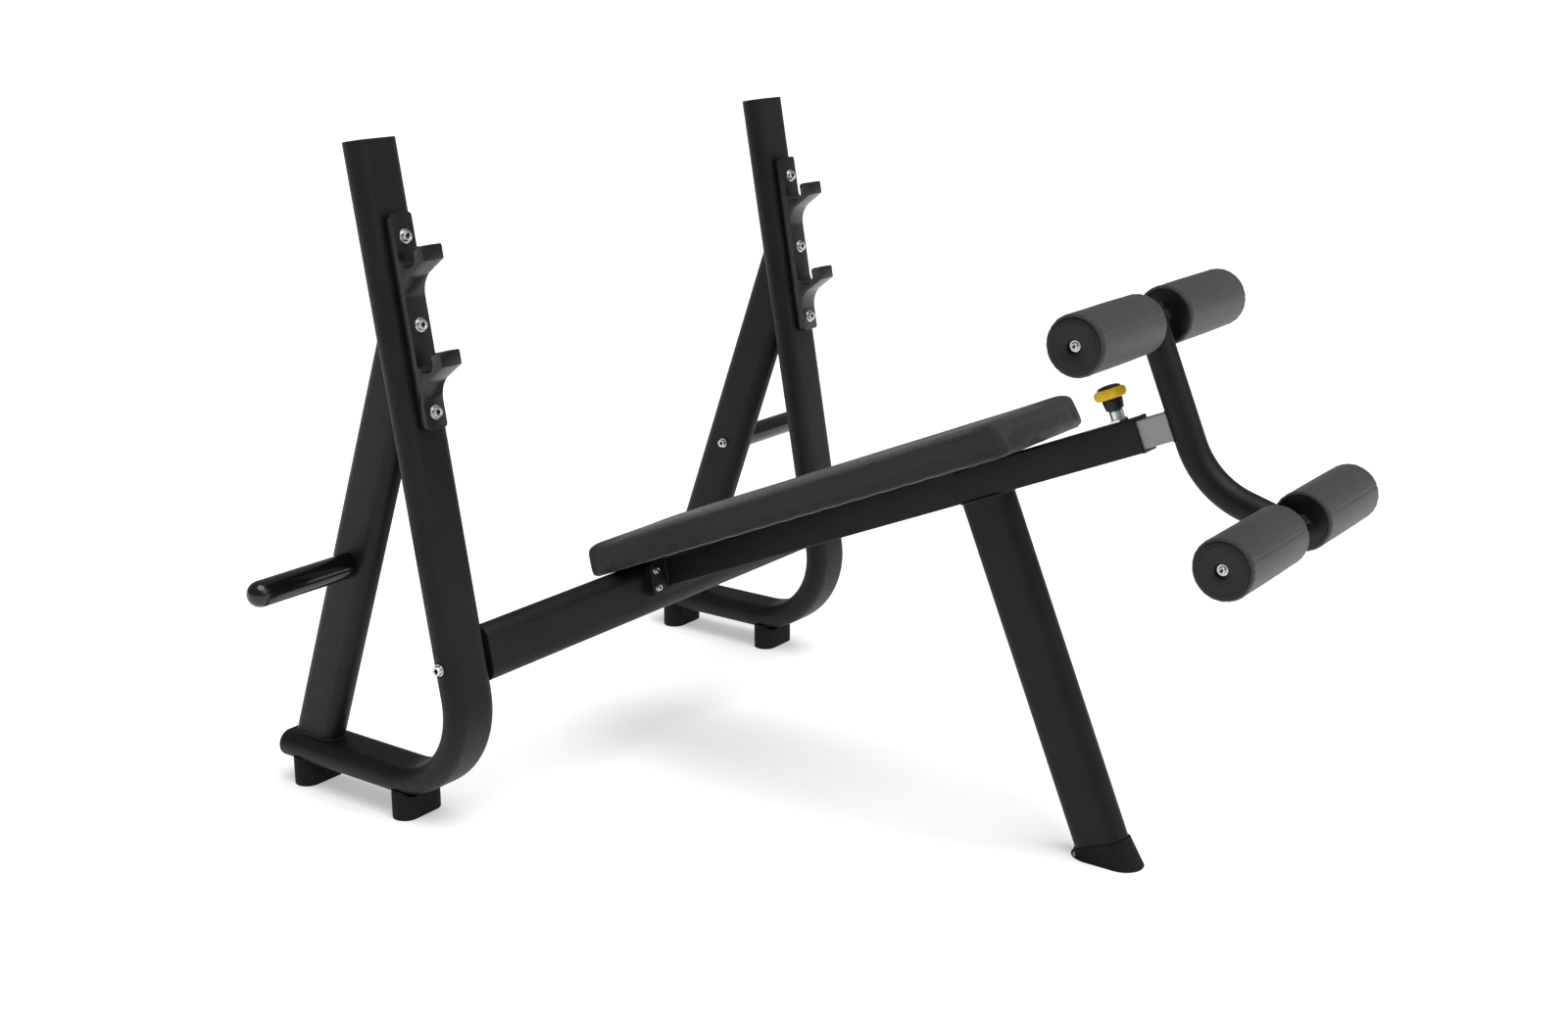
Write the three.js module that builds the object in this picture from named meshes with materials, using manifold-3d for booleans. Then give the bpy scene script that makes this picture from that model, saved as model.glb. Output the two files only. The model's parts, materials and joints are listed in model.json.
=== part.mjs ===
// Olympic decline bench: barbell uprights, an inclined beam with a pad, and a sliding leg holder.
// Millimetres, +Z up. X runs across the bench, +Y points to the rack end, -Y to the roller end.
// The origin is on the floor, at the middle of the bench's length and width.

import * as THREE from 'three';
import { mergeVertices } from 'three/addons/utils/BufferGeometryUtils.js';
import Module from 'manifold-3d';

const wasm = await Module();
wasm.setup();

const radians = THREE.MathUtils.degToRad;

// ---------------------------------------------------------------- driving dimensions

const gap = 0.3;                    // between two pieces that touch
const runningGap = 0.6;             // between two pieces that turn or slide on each other

// flat-oval steel tube of the whole frame
const tubeWide = 109;
const tubeThick = 54.5;
const tubeWall = 3;

// side frames
const sideSpacing = 1185;           // centre to centre of the uprights
const uprightHeight = 1300;         // floor to the upright's top front edge
const uprightLean = radians(9.9);   // back from upright
const baseCentreHeight = 75.5;      // centre line of the base tube
const baseRearEnd = 557;            // behind the foot of the upright's front face
const baseBendRadius = 172;
const strutFoot = 501;              // where the strut's centre line meets the base's centre line
const strutLean = radians(19.8);    // forward from upright
const capThickness = 3;
const capPlugDepth = 22;

// feet
const footFront = 226;
const footRear = 506;
const footShoulder = 12;            // how far a foot block rises beside the base tube

// plate horns
const hornRadius = 25;
const hornLength = 236;
const hornBehind = 350;             // behind the foot of the upright's front face
const hornHeight = 487.6;

// bar racks, measured along the upright's front face
const rackBottom = 793;
const rackTop = 1184;
const rackWidth = 50;
const rackStripDepth = 22;
const rackHookDepth = 85;
const rackHookTops = [932, 1122];
const rackLipHeight = 27;
const rackLipDepth = 23;
const rackLipChamfer = 4;
const rackLipRound = 5;
const rackSaddleSink = 8;           // saddle below the foot of the lip
const rackSaddleTaper = 2;
const rackGussetDrop = 74;          // lip top to where the gusset turns down
const rackGussetRun = [18, 20];     // curve at the gusset's foot, down the strip and out from it
const rackGussetRise = [8, 24];     // the curve's control and end above the turn
const rackBevel = 3;
const rackBoltPlaces = [822.9, 982.6, 1142.2];

// crossmember and the bolted joint to the beam
const crossHeight = 350;            // along the upright's front face
const crossPlateDepth = 8;          // end plates of the crossmember
const jointPlateWidth = 150;
const jointPlateHeight = 75;
const jointPlateDepth = 8;
const jointPlateCentre = 372.5;
const jointPlateCorner = 15;
const jointBoltAcross = 60;
const jointBoltPitch = 36.6;

// beam, measured from the point where its underside meets the joint plate
const beamSlope = radians(22.79);
const beamFootHeight = 347.2;       // along the upright's front face
const beamLength = 1141;
const beamWidth = 51;
const beamTall = 62.2;
const beamWall = 2.5;

// pad
const padBack = -82;                // overhang past the joint plate
const padLength = 1037;
const padWidth = 316;
const padThickness = 63;
const padCorner = 16;
const padEdge = 12;
const padBoardThickness = 15;
const padBoardInset = 12;
const bracketThickness = 5;
const bracketWidth = 230;
const bracketLength = 60;
const bracketPlaces = [130, 790];

// front leg and its boot
const legPlace = 800;
const bootWall = 3.5;
const bootFlare = 8;
const bootHeight = 36;
const bootSole = 9;

// slide, post and rollers
const bushingSideWall = 1.2;
const bushingTopWall = 2.2;
const slideWidth = beamWidth - 2 * (beamWall + gap + bushingSideWall + runningGap);
const slideTall = beamTall - 2 * (beamWall + gap + bushingTopWall + runningGap);
const slideWall = 2.5;
const slideLength = 305;            // behind the post's axis
const slideHoleRadius = 6;
const slideHolePitch = 35;
const slideHoleSteps = [-1, 0, 1, 2, 3];
const bushingLip = 3;
const bushingRim = 1.2;
const bushingPinClearance = 4;      // between the bushing's sleeve and the pull pin
const postPlace = 1222;
const postRadius = 26.5;
const postWall = 3;
const postUpper = 221.3;            // upper axle to the start of the bend
const postBendStart = -8;
const postBendRadius = 165;
const postBendAngle = radians(50);
const postLower = 85.5;             // end of the bend to the lower axle
const postEnd = 24;                 // past each axle
const axleRadius = 10;
const axleCollarRadius = 15;
const rollerRadius = 52.5;
const rollerInner = 46;
const rollerOuter = 284;
const rollerRound = 6;
const rollerDiscRadius = 46.5;
const rollerDiscDepth = 4;
const rollerCoreRadius = 17;
const axleRecessRadius = 12.5;
const axleRecessDepth = 5;

// pull pin
const pinPlace = 1104;
const pinRadius = 5;
const pinTipClearance = 0.5;        // above the slide tube
const pinBarrelRadius = 12.6;
const pinBarrelTop = 84;
const pinStudRadius = 11;
const pinCavityRadius = 8.6;
const pinCollarRadius = 8;
const pinEndWall = 2;               // barrel wall at each end of its cavity
const pinCollarTall = 2;
const pinStudClearance = 1.2;       // stud above the slide tube
const pinKnobDepth = 4;             // plunger's top below the hub's top
const springWire = 1.6;
const springCoils = 5;
const springSteps = 9;              // sections in each coil
const knobHubRadius = 18.5;
const knobHubTop = 105;
const knobRingRadius = 30;
const knobRingBottom = 105.3;
const knobRingTop = 123;
const knobRingWall = 3.8;           // core to the ring's bore
const knobLobes = 8;
const knobLobeDepth = 1.6;
const knobRingBevel = 3;
const knobCoreRadius = 14;
const knobDomeRadius = 21.5;
const knobDomeRim = 3;
const knobHubFoot = [0.8, 6];       // the hub's foot: share of its radius, and height of its taper
const knobTop = 130;

// fasteners: head radius, head height, washer radius, shank radius
const rackBoltSize = { head: 10.5, tall: 7, washer: 15, shank: 5 };
const crossBoltSize = { head: 9.5, tall: 8, washer: 11.5, shank: 6 };
const hornBoltSize = { head: 9, tall: 7, washer: 11, shank: 6 };
const jointBoltSize = { head: 6.5, tall: 5.5, washer: 8, shank: 4 };
const axleBoltSize = { head: 6.2, tall: 4, washer: 7.5, shank: 4 };

// ---------------------------------------------------------------- materials

const paint = (color, roughness, metalness = 0) =>
  new THREE.MeshStandardMaterial({ color, roughness, metalness });
const blackPowder = paint(0x202021, 0.62);
const rackBlack = paint(0x1c1c22, 0.38);
const hornBlack = paint(0x14141a, 0.25);
const rubberBlack = paint(0x161616, 0.85);
const plasticBlack = paint(0x1a1a1c, 0.5);
const vinyl = paint(0x3b3b3d, 0.6);
const plywood = paint(0x8a6a45, 0.8);
const satinGrey = paint(0x8b8b8b, 0.4, 0.6);
const zinc = paint(0xcfd0d2, 0.25, 1);
const yellowPlastic = paint(0xe0b80c, 0.45);

// ---------------------------------------------------------------- solids

function solid(geometry) {
  const bare = geometry.clone();
  bare.deleteAttribute('normal');
  bare.deleteAttribute('uv');
  const merged = mergeVertices(bare, 1e-4);
  const corners = Array.from(merged.index.array);
  const triVerts = [];
  for (let i = 0; i < corners.length; i += 3) {
    const [a, b, c] = corners.slice(i, i + 3);
    if (a !== b && b !== c && c !== a) triVerts.push(a, b, c);
  }
  const vertProperties = new Float32Array(merged.attributes.position.array);
  const mesh = new wasm.Mesh({ numProp: 3, vertProperties, triVerts: new Uint32Array(triVerts) });
  return new wasm.Manifold(mesh);
}

function surface(body) {
  const mesh = body.getMesh();
  const geometry = new THREE.BufferGeometry();
  geometry.setAttribute('position', new THREE.BufferAttribute(new Float32Array(mesh.vertProperties), 3));
  geometry.setIndex(new THREE.BufferAttribute(new Uint32Array(mesh.triVerts), 1));
  geometry.computeVertexNormals();
  return geometry;
}

const cut = (geometry, ...tools) =>
  surface(tools.reduce((body, tool) => body.subtract(solid(tool)), solid(geometry)));
const join = (geometry, ...others) =>
  surface(others.reduce((body, other) => body.add(solid(other)), solid(geometry)));

// corners of a rounded rectangle, counter-clockwise; a radius of half its height gives a flat oval
function roundedOutline(width, height, radius, steps) {
  const points = [];
  const quarters = [[1, -1, -90], [1, 1, 0], [-1, 1, 90], [-1, -1, 180]];
  for (const [sideX, sideY, start] of quarters) {
    for (let i = 0; i <= steps; i += 1) {
      const angle = radians(start + 90 * i / steps);
      const x = sideX * (width / 2 - radius) + radius * Math.cos(angle);
      const y = sideY * (height / 2 - radius) + radius * Math.sin(angle);
      const last = points[points.length - 1];
      if (!last || Math.hypot(last.x - x, last.y - y) > 1e-6) points.push(new THREE.Vector2(x, y));
    }
  }
  const [first] = points;
  const last = points[points.length - 1];
  if (Math.hypot(last.x - first.x, last.y - first.y) < 1e-6) points.pop();
  return points;
}

const ovalSteps = 4;
const ovalOutline = (wide, thick) => roundedOutline(wide, thick, thick / 2, ovalSteps);

// a wall between an outline and the outline inside it
function tubeShape(outer, inner) {
  const shape = new THREE.Shape(outer);
  shape.holes.push(new THREE.Path(inner));
  return shape;
}

const ovalTube = () => tubeShape(
  ovalOutline(tubeWide, tubeThick),
  ovalOutline(tubeWide - 2 * tubeWall, tubeThick - 2 * tubeWall),
);

function prism(shape, from, to, options = {}) {
  const depth = to - from - 2 * (options.bevelThickness ?? 0);
  const geometry = new THREE.ExtrudeGeometry(shape, { depth, bevelEnabled: false, ...options });
  return geometry.translate(0, 0, from + (options.bevelThickness ?? 0));
}

function block(x, y, z) {
  const geometry = new THREE.BoxGeometry(x[1] - x[0], y[1] - y[0], z[1] - z[0]);
  return geometry.translate((x[0] + x[1]) / 2, (y[0] + y[1]) / 2, (z[0] + z[1]) / 2);
}

// a turned solid around Z; the profile is [radius, height] points from the bottom to the top
function turned(profile, segments = 16) {
  const points = profile.map(([radius, height]) => new THREE.Vector2(radius, height));
  return new THREE.LatheGeometry(points, segments).rotateX(Math.PI / 2);
}

const rod = (radius, from, to, segments = 16) =>
  turned([[0, from], [radius, from], [radius, to], [0, to]], segments);
const acrossX = (geometry) => geometry.rotateY(Math.PI / 2);

// a path in the YZ plane that is sampled only where it needs a point
class PlanarPath extends THREE.Curve {
  constructor() {
    super();
    this.places = [];
    this.directions = [];
  }

  add(y, z, angle) {
    this.places.push(new THREE.Vector3(0, y, z));
    this.directions.push(new THREE.Vector3(0, Math.cos(angle), Math.sin(angle)));
    return this;
  }

  // a bend whose direction turns from one angle to another around a centre
  bend(centreY, centreZ, radius, from, to, steps) {
    const side = Math.sign(to - from);
    for (let i = 0; i <= steps; i += 1) {
      const angle = from + (to - from) * i / steps;
      this.add(centreY + side * radius * Math.sin(angle), centreZ - side * radius * Math.cos(angle), angle);
    }
    return this;
  }

  getPointAt(t) {
    return this.places[Math.round(t * (this.places.length - 1))].clone();
  }

  getTangentAt(t) {
    return this.directions[Math.round(t * (this.directions.length - 1))].clone();
  }

  computeFrenetFrames() {
    const tangents = this.directions;
    const normals = tangents.map(() => new THREE.Vector3(1, 0, 0));
    const binormals = tangents.map((tangent, i) => new THREE.Vector3().crossVectors(tangent, normals[i]));
    return { tangents, normals, binormals };
  }
}

const sweep = (shape, path) =>
  new THREE.ExtrudeGeometry(shape, { extrudePath: path, steps: path.places.length - 1 });

const washerTall = 1.5;
const headTaper = 0.8;              // top of a bolt head to its widest
const socketRadius = 0.5;           // hexagon socket, as a share of the head
const socketDepth = 0.55;

// a bolt along Z: washer on the plane z = 0, head above it with a hexagon socket, shank below
function bolt({ head, tall, washer, shank }, length) {
  const top = washerTall + tall;
  const body = turned([
    [0, -length], [shank, -length], [shank, 0], [washer, 0], [washer, washerTall],
    [head, washerTall], [head * headTaper, top], [0, top],
  ], 12);
  const socket = rod(head * socketRadius, top - tall * socketDepth, top + 1, 6);
  return cut(body, socket);
}

// a plastic cap on the end of a flat-oval tube whose end is the plane z = 0
function tubeCap() {
  const plugWide = tubeWide - 2 * tubeWall - 2 * gap;
  const plugThick = tubeThick - 2 * tubeWall - 2 * gap;
  const flange = prism(new THREE.Shape(ovalOutline(tubeWide, tubeThick)), gap, gap + capThickness);
  const plug = prism(new THREE.Shape(ovalOutline(plugWide, plugThick)), -capPlugDepth, gap + capThickness / 2);
  return join(flange, plug);
}

// ---------------------------------------------------------------- frames of reference

// the plane of the uprights' front faces: x across, y to the rear, z up along the face
const leanFrame = new THREE.Matrix4().makeRotationX(-uprightLean);

// the beam: x across, y down the slope to the rack, z square to the beam, origin at its foot
const jointDepth = 2 * (jointPlateDepth + gap);
const beamFoot = new THREE.Vector3(0, -jointDepth, beamFootHeight).applyMatrix4(leanFrame);
const beamFrame = new THREE.Matrix4().makeRotationX(-beamSlope).setPosition(beamFoot);

const bench = new THREE.Group();
const layout = new THREE.Group();
const leaning = new THREE.Group();
const sloping = new THREE.Group();
bench.add(layout);
layout.add(leaning, sloping);
leaning.rotation.x = -uprightLean;
sloping.rotation.x = -beamSlope;
sloping.position.copy(beamFoot);

function piece(parent, name, geometry, material, position = [0, 0, 0], rotation = [0, 0, 0]) {
  const mesh = new THREE.Mesh(geometry, material);
  mesh.name = name;
  mesh.position.set(...position);
  mesh.rotation.set(...rotation);
  parent.add(mesh);
  return mesh;
}

const far = 3000;                   // longer than any piece, for cutting tools
const boltClearance = 0.5;

// ---------------------------------------------------------------- side frames

const halfThick = tubeThick / 2;
const halfSpacing = sideSpacing / 2;
const baseTop = baseCentreHeight + halfThick;
const baseBottom = baseCentreHeight - halfThick;

// where the upright's centre line crosses the base's centre line
const faceRise = (baseCentreHeight + halfThick * Math.sin(uprightLean)) / Math.cos(uprightLean);
const cornerY = halfThick * Math.cos(uprightLean) + faceRise * Math.sin(uprightLean);
const bendTurn = Math.PI / 2 + uprightLean;
const bendTangent = baseBendRadius * Math.tan(bendTurn / 2);
const uprightTubeTop = uprightHeight / Math.cos(uprightLean) - capThickness - gap;
const baseTubeEnd = baseRearEnd - capThickness - gap;

const rackHole = rackBoltSize.shank + boltClearance;
const crossHole = crossBoltSize.shank + boltClearance;
const hornHole = hornBoltSize.shank + boltClearance;

function uprightTube() {
  const top = new THREE.Vector3(0, halfThick, uprightTubeTop).applyMatrix4(leanFrame);
  const up = Math.PI / 2 - uprightLean;
  const path = new PlanarPath()
    .add(baseTubeEnd, baseCentreHeight, Math.PI)
    .bend(cornerY + bendTangent, baseCentreHeight + baseBendRadius, baseBendRadius, Math.PI, up, 8)
    .add(top.y, top.z, up);
  const rackHoles = rackBoltPlaces.map((place) => {
    const hole = rod(rackHole, -tubeWall * 2, tubeWall * 2, 12).rotateX(Math.PI / 2);
    return hole.translate(0, 0, place).applyMatrix4(leanFrame);
  });
  const crossBore = acrossX(rod(crossHole, -tubeWide, tubeWide, 12));
  crossBore.translate(0, halfThick, crossHeight).applyMatrix4(leanFrame);
  return cut(sweep(ovalTube(), path), crossBore, ...rackHoles);
}

function strutTube() {
  const tube = prism(ovalTube(), 0, uprightHeight).rotateZ(Math.PI / 2);
  tube.rotateX(strutLean).translate(0, strutFoot, baseCentreHeight);
  const belowBase = block([-far, far], [-far, far], [-far, baseTop + gap]);
  const beforeFace = block([-far, far], [-far, tubeThick + gap], [-far, far]).applyMatrix4(leanFrame);
  const hornBore = acrossX(rod(hornHole, -tubeThick, tubeThick, 12)).translate(0, hornBehind, hornHeight);
  return cut(tube, belowBase, beforeFace, hornBore);
}

function footBlock(place) {
  const outline = new THREE.Shape(ovalOutline(tubeWide, tubeThick));
  const blockBody = prism(outline, 0, baseBottom + footShoulder).translate(0, place, 0);
  const tubeOutline = new THREE.Shape(ovalOutline(tubeWide + 2 * gap, tubeThick + 2 * gap));
  const saddle = prism(tubeOutline, -far, far).rotateX(Math.PI / 2).translate(0, 0, baseCentreHeight);
  return cut(blockBody, saddle);
}

function plateHorn() {
  const domeSteps = 4;
  const tapEnd = hornBoltSize.tall * 4;
  const profile = [[0, tapEnd], [hornHole, tapEnd], [hornHole, 0], [hornRadius, 0]];
  for (let i = 0; i <= domeSteps; i += 1) {
    const angle = Math.PI / 2 * i / domeSteps;
    profile.push([hornRadius * Math.cos(angle), hornLength - hornRadius + hornRadius * Math.sin(angle)]);
  }
  profile[profile.length - 1][0] = 0;
  return acrossX(turned(profile));
}

// side view of a bar rack: depth in front of the upright against height along it
function rackProfile() {
  const shape = new THREE.Shape();
  shape.moveTo(0, rackBottom);
  shape.lineTo(rackStripDepth, rackBottom);
  for (const top of rackHookTops) {
    const lipBack = rackHookDepth - rackLipDepth;
    const floor = top - rackLipHeight;
    const saddle = floor - rackSaddleSink;
    const saddleRadius = (lipBack - rackStripDepth) / 2 - rackSaddleTaper;
    const turnHeight = top - rackGussetDrop;
    shape.lineTo(rackStripDepth, turnHeight - rackGussetRun[0]);
    shape.quadraticCurveTo(
      rackStripDepth, turnHeight + rackGussetRise[0],
      rackStripDepth + rackGussetRun[1], turnHeight + rackGussetRise[1],
    );
    shape.lineTo(rackHookDepth, floor);
    shape.lineTo(rackHookDepth, top - rackLipRound);
    shape.quadraticCurveTo(rackHookDepth, top, rackHookDepth - rackLipRound, top);
    shape.lineTo(lipBack + rackLipChamfer, top);
    shape.lineTo(lipBack, top - rackLipChamfer);
    shape.lineTo(lipBack, saddle + saddleRadius);
    shape.quadraticCurveTo(lipBack, saddle, lipBack - saddleRadius, saddle);
    shape.quadraticCurveTo(rackStripDepth, saddle, rackStripDepth, saddle + saddleRadius);
  }
  shape.lineTo(rackStripDepth, rackTop);
  shape.lineTo(0, rackTop);
  return shape;
}

function barRack() {
  const options = {
    bevelEnabled: true, bevelThickness: rackBevel, bevelSize: rackBevel, bevelOffset: -rackBevel,
    bevelSegments: 1, curveSegments: 5,
  };
  // profile depth turns to -Y, profile height to Z and the extrusion to X
  const body = prism(rackProfile(), -rackWidth / 2, rackWidth / 2, options);
  body.rotateX(Math.PI / 2).rotateZ(-Math.PI / 2);
  const holes = rackBoltPlaces.map((place) => (
    rod(rackHole, -rackHookDepth, rackHookDepth, 12).rotateX(Math.PI / 2).translate(0, 0, place)
  ));
  return cut(body, ...holes);
}

for (const [side, sign] of [['left', -1], ['right', 1]]) {
  const frame = new THREE.Group();
  const face = new THREE.Group();
  frame.position.x = sign * halfSpacing;
  face.position.x = sign * halfSpacing;
  layout.add(frame);
  leaning.add(face);
  const outward = [0, sign > 0 ? 0 : Math.PI, 0];
  const inward = [0, sign > 0 ? Math.PI : 0, 0];

  piece(frame, `upright_${side}`, uprightTube(), blackPowder);
  piece(frame, `strut_${side}`, strutTube(), blackPowder);
  piece(frame, `foot_front_${side}`, footBlock(footFront), rubberBlack);
  piece(frame, `foot_rear_${side}`, footBlock(footRear), rubberBlack);
  const capPlace = [0, baseTubeEnd, baseCentreHeight];
  piece(frame, `base_cap_${side}`, tubeCap(), plasticBlack, capPlace, [-Math.PI / 2, 0, 0]);
  piece(face, `upright_cap_${side}`, tubeCap(), plasticBlack, [0, halfThick, uprightTubeTop]);

  const hornStart = sign * (halfThick + gap);
  piece(frame, `plate_horn_${side}`, plateHorn(), hornBlack, [hornStart, hornBehind, hornHeight], outward);
  const hornBolt = acrossX(bolt(hornBoltSize, tubeThick + hornBoltSize.tall * 3));
  piece(frame, `horn_bolt_${side}`, hornBolt, zinc, [-hornStart, hornBehind, hornHeight], inward);

  piece(face, `bar_rack_${side}`, barRack(), rackBlack, [0, -gap, 0]);
  rackBoltPlaces.forEach((place, i) => {
    const geometry = bolt(rackBoltSize, rackStripDepth + tubeWall).rotateX(Math.PI / 2);
    piece(face, `rack_bolt_${side}_${i + 1}`, geometry, zinc, [0, -rackStripDepth - 2 * gap, place]);
  });

  const crossBolt = acrossX(bolt(crossBoltSize, tubeWide + crossPlateDepth));
  piece(face, `crossmember_bolt_${side}`, crossBolt, zinc,
    [sign * (tubeWide / 2 + gap), halfThick, crossHeight], outward);
}

// ---------------------------------------------------------------- crossmember and beam

const jointOutline = () =>
  new THREE.Shape(roundedOutline(jointPlateWidth, jointPlateHeight, jointPlateCorner, 3));

// a plate parallel to the uprights' front faces, between two depths in front of them
const jointPlate = (back, front) => (
  prism(jointOutline(), back, front).rotateX(Math.PI / 2).translate(0, 0, jointPlateCentre)
);

const jointBoltPlaces = [];
for (const [row, up] of [['lower', -1], ['upper', 1]]) {
  for (const [side, sign] of [['left', -1], ['right', 1]]) {
    const place = [sign * jointBoltAcross, 0, jointPlateCentre + up * jointBoltPitch / 2];
    jointBoltPlaces.push({ name: `joint_bolt_${row}_${side}`, place });
  }
}

const jointHoles = () => jointBoltPlaces.map(({ place }) => (
  rod(jointBoltSize.shank + boltClearance, -tubeWall * 2, jointDepth * 2, 12)
    .rotateX(Math.PI / 2)
    .translate(...place)
));

function crossmember() {
  const half = halfSpacing - tubeWide / 2 - gap;
  const stand = (geometry) => acrossX(geometry).translate(0, halfThick, crossHeight);
  const tube = stand(prism(ovalTube(), -half, half));
  const closed = new THREE.Shape(ovalOutline(tubeWide - tubeWall, tubeThick - tubeWall));
  const endPlates = [[-half, -half + crossPlateDepth], [half - crossPlateDepth, half]]
    .map(([from, to]) => stand(prism(closed, from, to)));
  const bore = stand(rod(crossHole, -half - 1, half + 1, 12));
  // the plate reaches into the tube's front wall, which it is welded to
  const plate = jointPlate(-tubeWall / 2, jointPlateDepth);
  return cut(join(tube, ...endPlates, plate), bore, ...jointHoles());
}

piece(leaning, 'crossmember', crossmember(), blackPowder);

for (const { name, place } of jointBoltPlaces) {
  const geometry = bolt(jointBoltSize, jointDepth).rotateX(Math.PI / 2);
  piece(leaning, name, geometry, zinc, [place[0], -jointDepth - gap, place[2]]);
}

const beamMiddle = beamTall / 2;
const pinBore = pinStudRadius + boltClearance;

function mainBeam() {
  const tube = prism(tubeShape(
    roundedOutline(beamWidth, beamTall, 3, 2),
    roundedOutline(beamWidth - 2 * beamWall, beamTall - 2 * beamWall, 1.5, 1),
  ), -tubeWide, beamLength).rotateX(Math.PI / 2).translate(0, 0, beamMiddle);
  const brackets = bracketPlaces.map((place) => block(
    [-bracketWidth / 2, bracketWidth / 2],
    [-place - bracketLength / 2, -place + bracketLength / 2],
    [beamTall - beamWall / 2, beamTall + bracketThickness],
  ));
  const pinHole = rod(pinBore, beamTall - 3 * beamWall, beamTall + beamWall).translate(0, -pinPlace, 0);
  const inBeam = (geometry) => geometry.applyMatrix4(beamFrame);
  const inLean = (geometry) => geometry.applyMatrix4(leanFrame);
  const behindPlate = block([-far, far], [-jointDepth + jointPlateDepth / 2, far], [-far, far]);
  const trimmed = cut(inBeam(tube), inLean(behindPlate), inBeam(pinHole));
  const plate = jointPlate(jointPlateDepth + 2 * gap, jointDepth);
  return cut(join(trimmed, inLean(plate), ...brackets.map(inBeam)), ...jointHoles().map(inLean));
}

piece(layout, 'main_beam', mainBeam(), blackPowder);

// ---------------------------------------------------------------- pad

const padBottom = beamTall + bracketThickness + gap;
const padMiddle = -(padBack + padLength / 2);
const boardWidth = padWidth - 2 * padBoardInset;
const boardLength = padLength - 2 * padBoardInset;

function benchPad() {
  const outline = new THREE.Shape(roundedOutline(padWidth, padLength, padCorner, 4));
  const options = {
    bevelEnabled: true, bevelThickness: padEdge, bevelSize: padEdge, bevelOffset: -padEdge, bevelSegments: 2,
  };
  const cushion = prism(outline, padBottom, padBottom + padThickness, options);
  const pocketCorner = padCorner - padBoardInset;
  const pocketOutline = roundedOutline(boardWidth + 2 * gap, boardLength + 2 * gap, pocketCorner, 3);
  const pocket = prism(new THREE.Shape(pocketOutline), 0, padBottom + padBoardThickness + gap);
  return cut(cushion, pocket);
}

const boardShape = new THREE.Shape(roundedOutline(boardWidth, boardLength, padCorner - padBoardInset, 3));
piece(sloping, 'bench_pad', benchPad(), vinyl, [0, padMiddle, 0]);
const boardBody = prism(boardShape, padBottom, padBottom + padBoardThickness);
piece(sloping, 'pad_board', boardBody, plywood, [0, padMiddle, 0]);

// ---------------------------------------------------------------- front leg

const legAxisTop = new THREE.Vector3(0, -legPlace, 0).applyMatrix4(beamFrame);
const legReach = legAxisTop.z / Math.cos(beamSlope);

function frontLeg() {
  const tube = prism(ovalTube(), -legReach - tubeWide, -gap).rotateZ(Math.PI / 2);
  tube.translate(0, -legPlace, 0).applyMatrix4(beamFrame);
  return cut(tube, block([-far, far], [-far, far], [-far, bootSole + gap]));
}

// a sleeve square to the leg that flares out to a level sole
function legBoot() {
  const wide = tubeWide + 2 * (bootWall + gap);
  const thick = tubeThick + 2 * (bootWall + gap);
  const outline = new THREE.Shape(ovalOutline(wide, thick));
  const depth = bootHeight + tubeThick;
  const sleeve = new THREE.ExtrudeGeometry(outline, { depth, steps: 6, bevelEnabled: false });
  const position = sleeve.attributes.position;
  for (let i = 0; i < position.count; i += 1) {
    const flare = bootFlare * Math.min(1, position.getZ(i) / bootHeight) ** 2;
    position.setX(i, position.getX(i) * (1 + 2 * flare / wide));
    position.setY(i, position.getY(i) * (1 + 2 * flare / thick));
  }
  const socket = prism(new THREE.Shape(ovalOutline(tubeWide + 2 * gap, tubeThick + 2 * gap)), -1, depth + 1);
  // the sleeve's length runs down the leg, from its rim past the floor
  const place = (geometry) => (
    geometry.rotateZ(Math.PI / 2)
      .rotateX(Math.PI)
      .translate(0, -legPlace, bootHeight - legReach)
      .applyMatrix4(beamFrame)
  );
  const belowSole = block([-far, far], [-far, far], [-far, bootSole]);
  const bore = cut(place(socket), belowSole);
  return cut(place(sleeve), bore, block([-far, far], [-far, far], [-far, 0]));
}

piece(layout, 'front_leg', frontLeg(), blackPowder);
piece(layout, 'leg_boot', legBoot(), rubberBlack);

// ---------------------------------------------------------------- slide, post and axles

const bushingSleeve = beamLength - pinPlace - pinStudRadius - bushingPinClearance;

function beamBushing() {
  const bore = roundedOutline(slideWidth + 2 * runningGap, slideTall + 2 * runningGap, 1.5, 1);
  const lip = roundedOutline(beamWidth + 2 * bushingRim, beamTall + 2 * bushingRim, 4, 2);
  const sleeveWidth = beamWidth - 2 * beamWall - 2 * gap;
  const sleeveTall = beamTall - 2 * beamWall - 2 * gap;
  const sleeve = roundedOutline(sleeveWidth, sleeveTall, 1.2, 1);
  return join(
    prism(tubeShape(lip, bore), gap, bushingLip),
    prism(tubeShape(sleeve, bore), -bushingSleeve, gap + bushingLip / 2),
  );
}

const bushingPlace = [0, -beamLength, beamMiddle];
piece(sloping, 'beam_bushing', beamBushing(), plasticBlack, bushingPlace, [Math.PI / 2, 0, 0]);

const slideTop = beamMiddle + slideTall / 2;

function slideTube() {
  const tube = prism(tubeShape(
    roundedOutline(slideWidth, slideTall, 1.5, 1),
    roundedOutline(slideWidth - 2 * slideWall, slideTall - 2 * slideWall, 0.8, 1),
  ), postPlace - slideLength, postPlace).rotateX(Math.PI / 2).translate(0, 0, beamMiddle);
  const cope = rod(postRadius + gap, -slideTall, 2 * slideTall, 36).translate(0, -postPlace, 0);
  const holes = slideHoleSteps.map((step) => (
    rod(slideHoleRadius, slideTop - 2 * slideWall, slideTop + 1, 12)
      .translate(0, -pinPlace + step * slideHolePitch, 0)
  ));
  return cut(tube, cope, ...holes);
}

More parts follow.
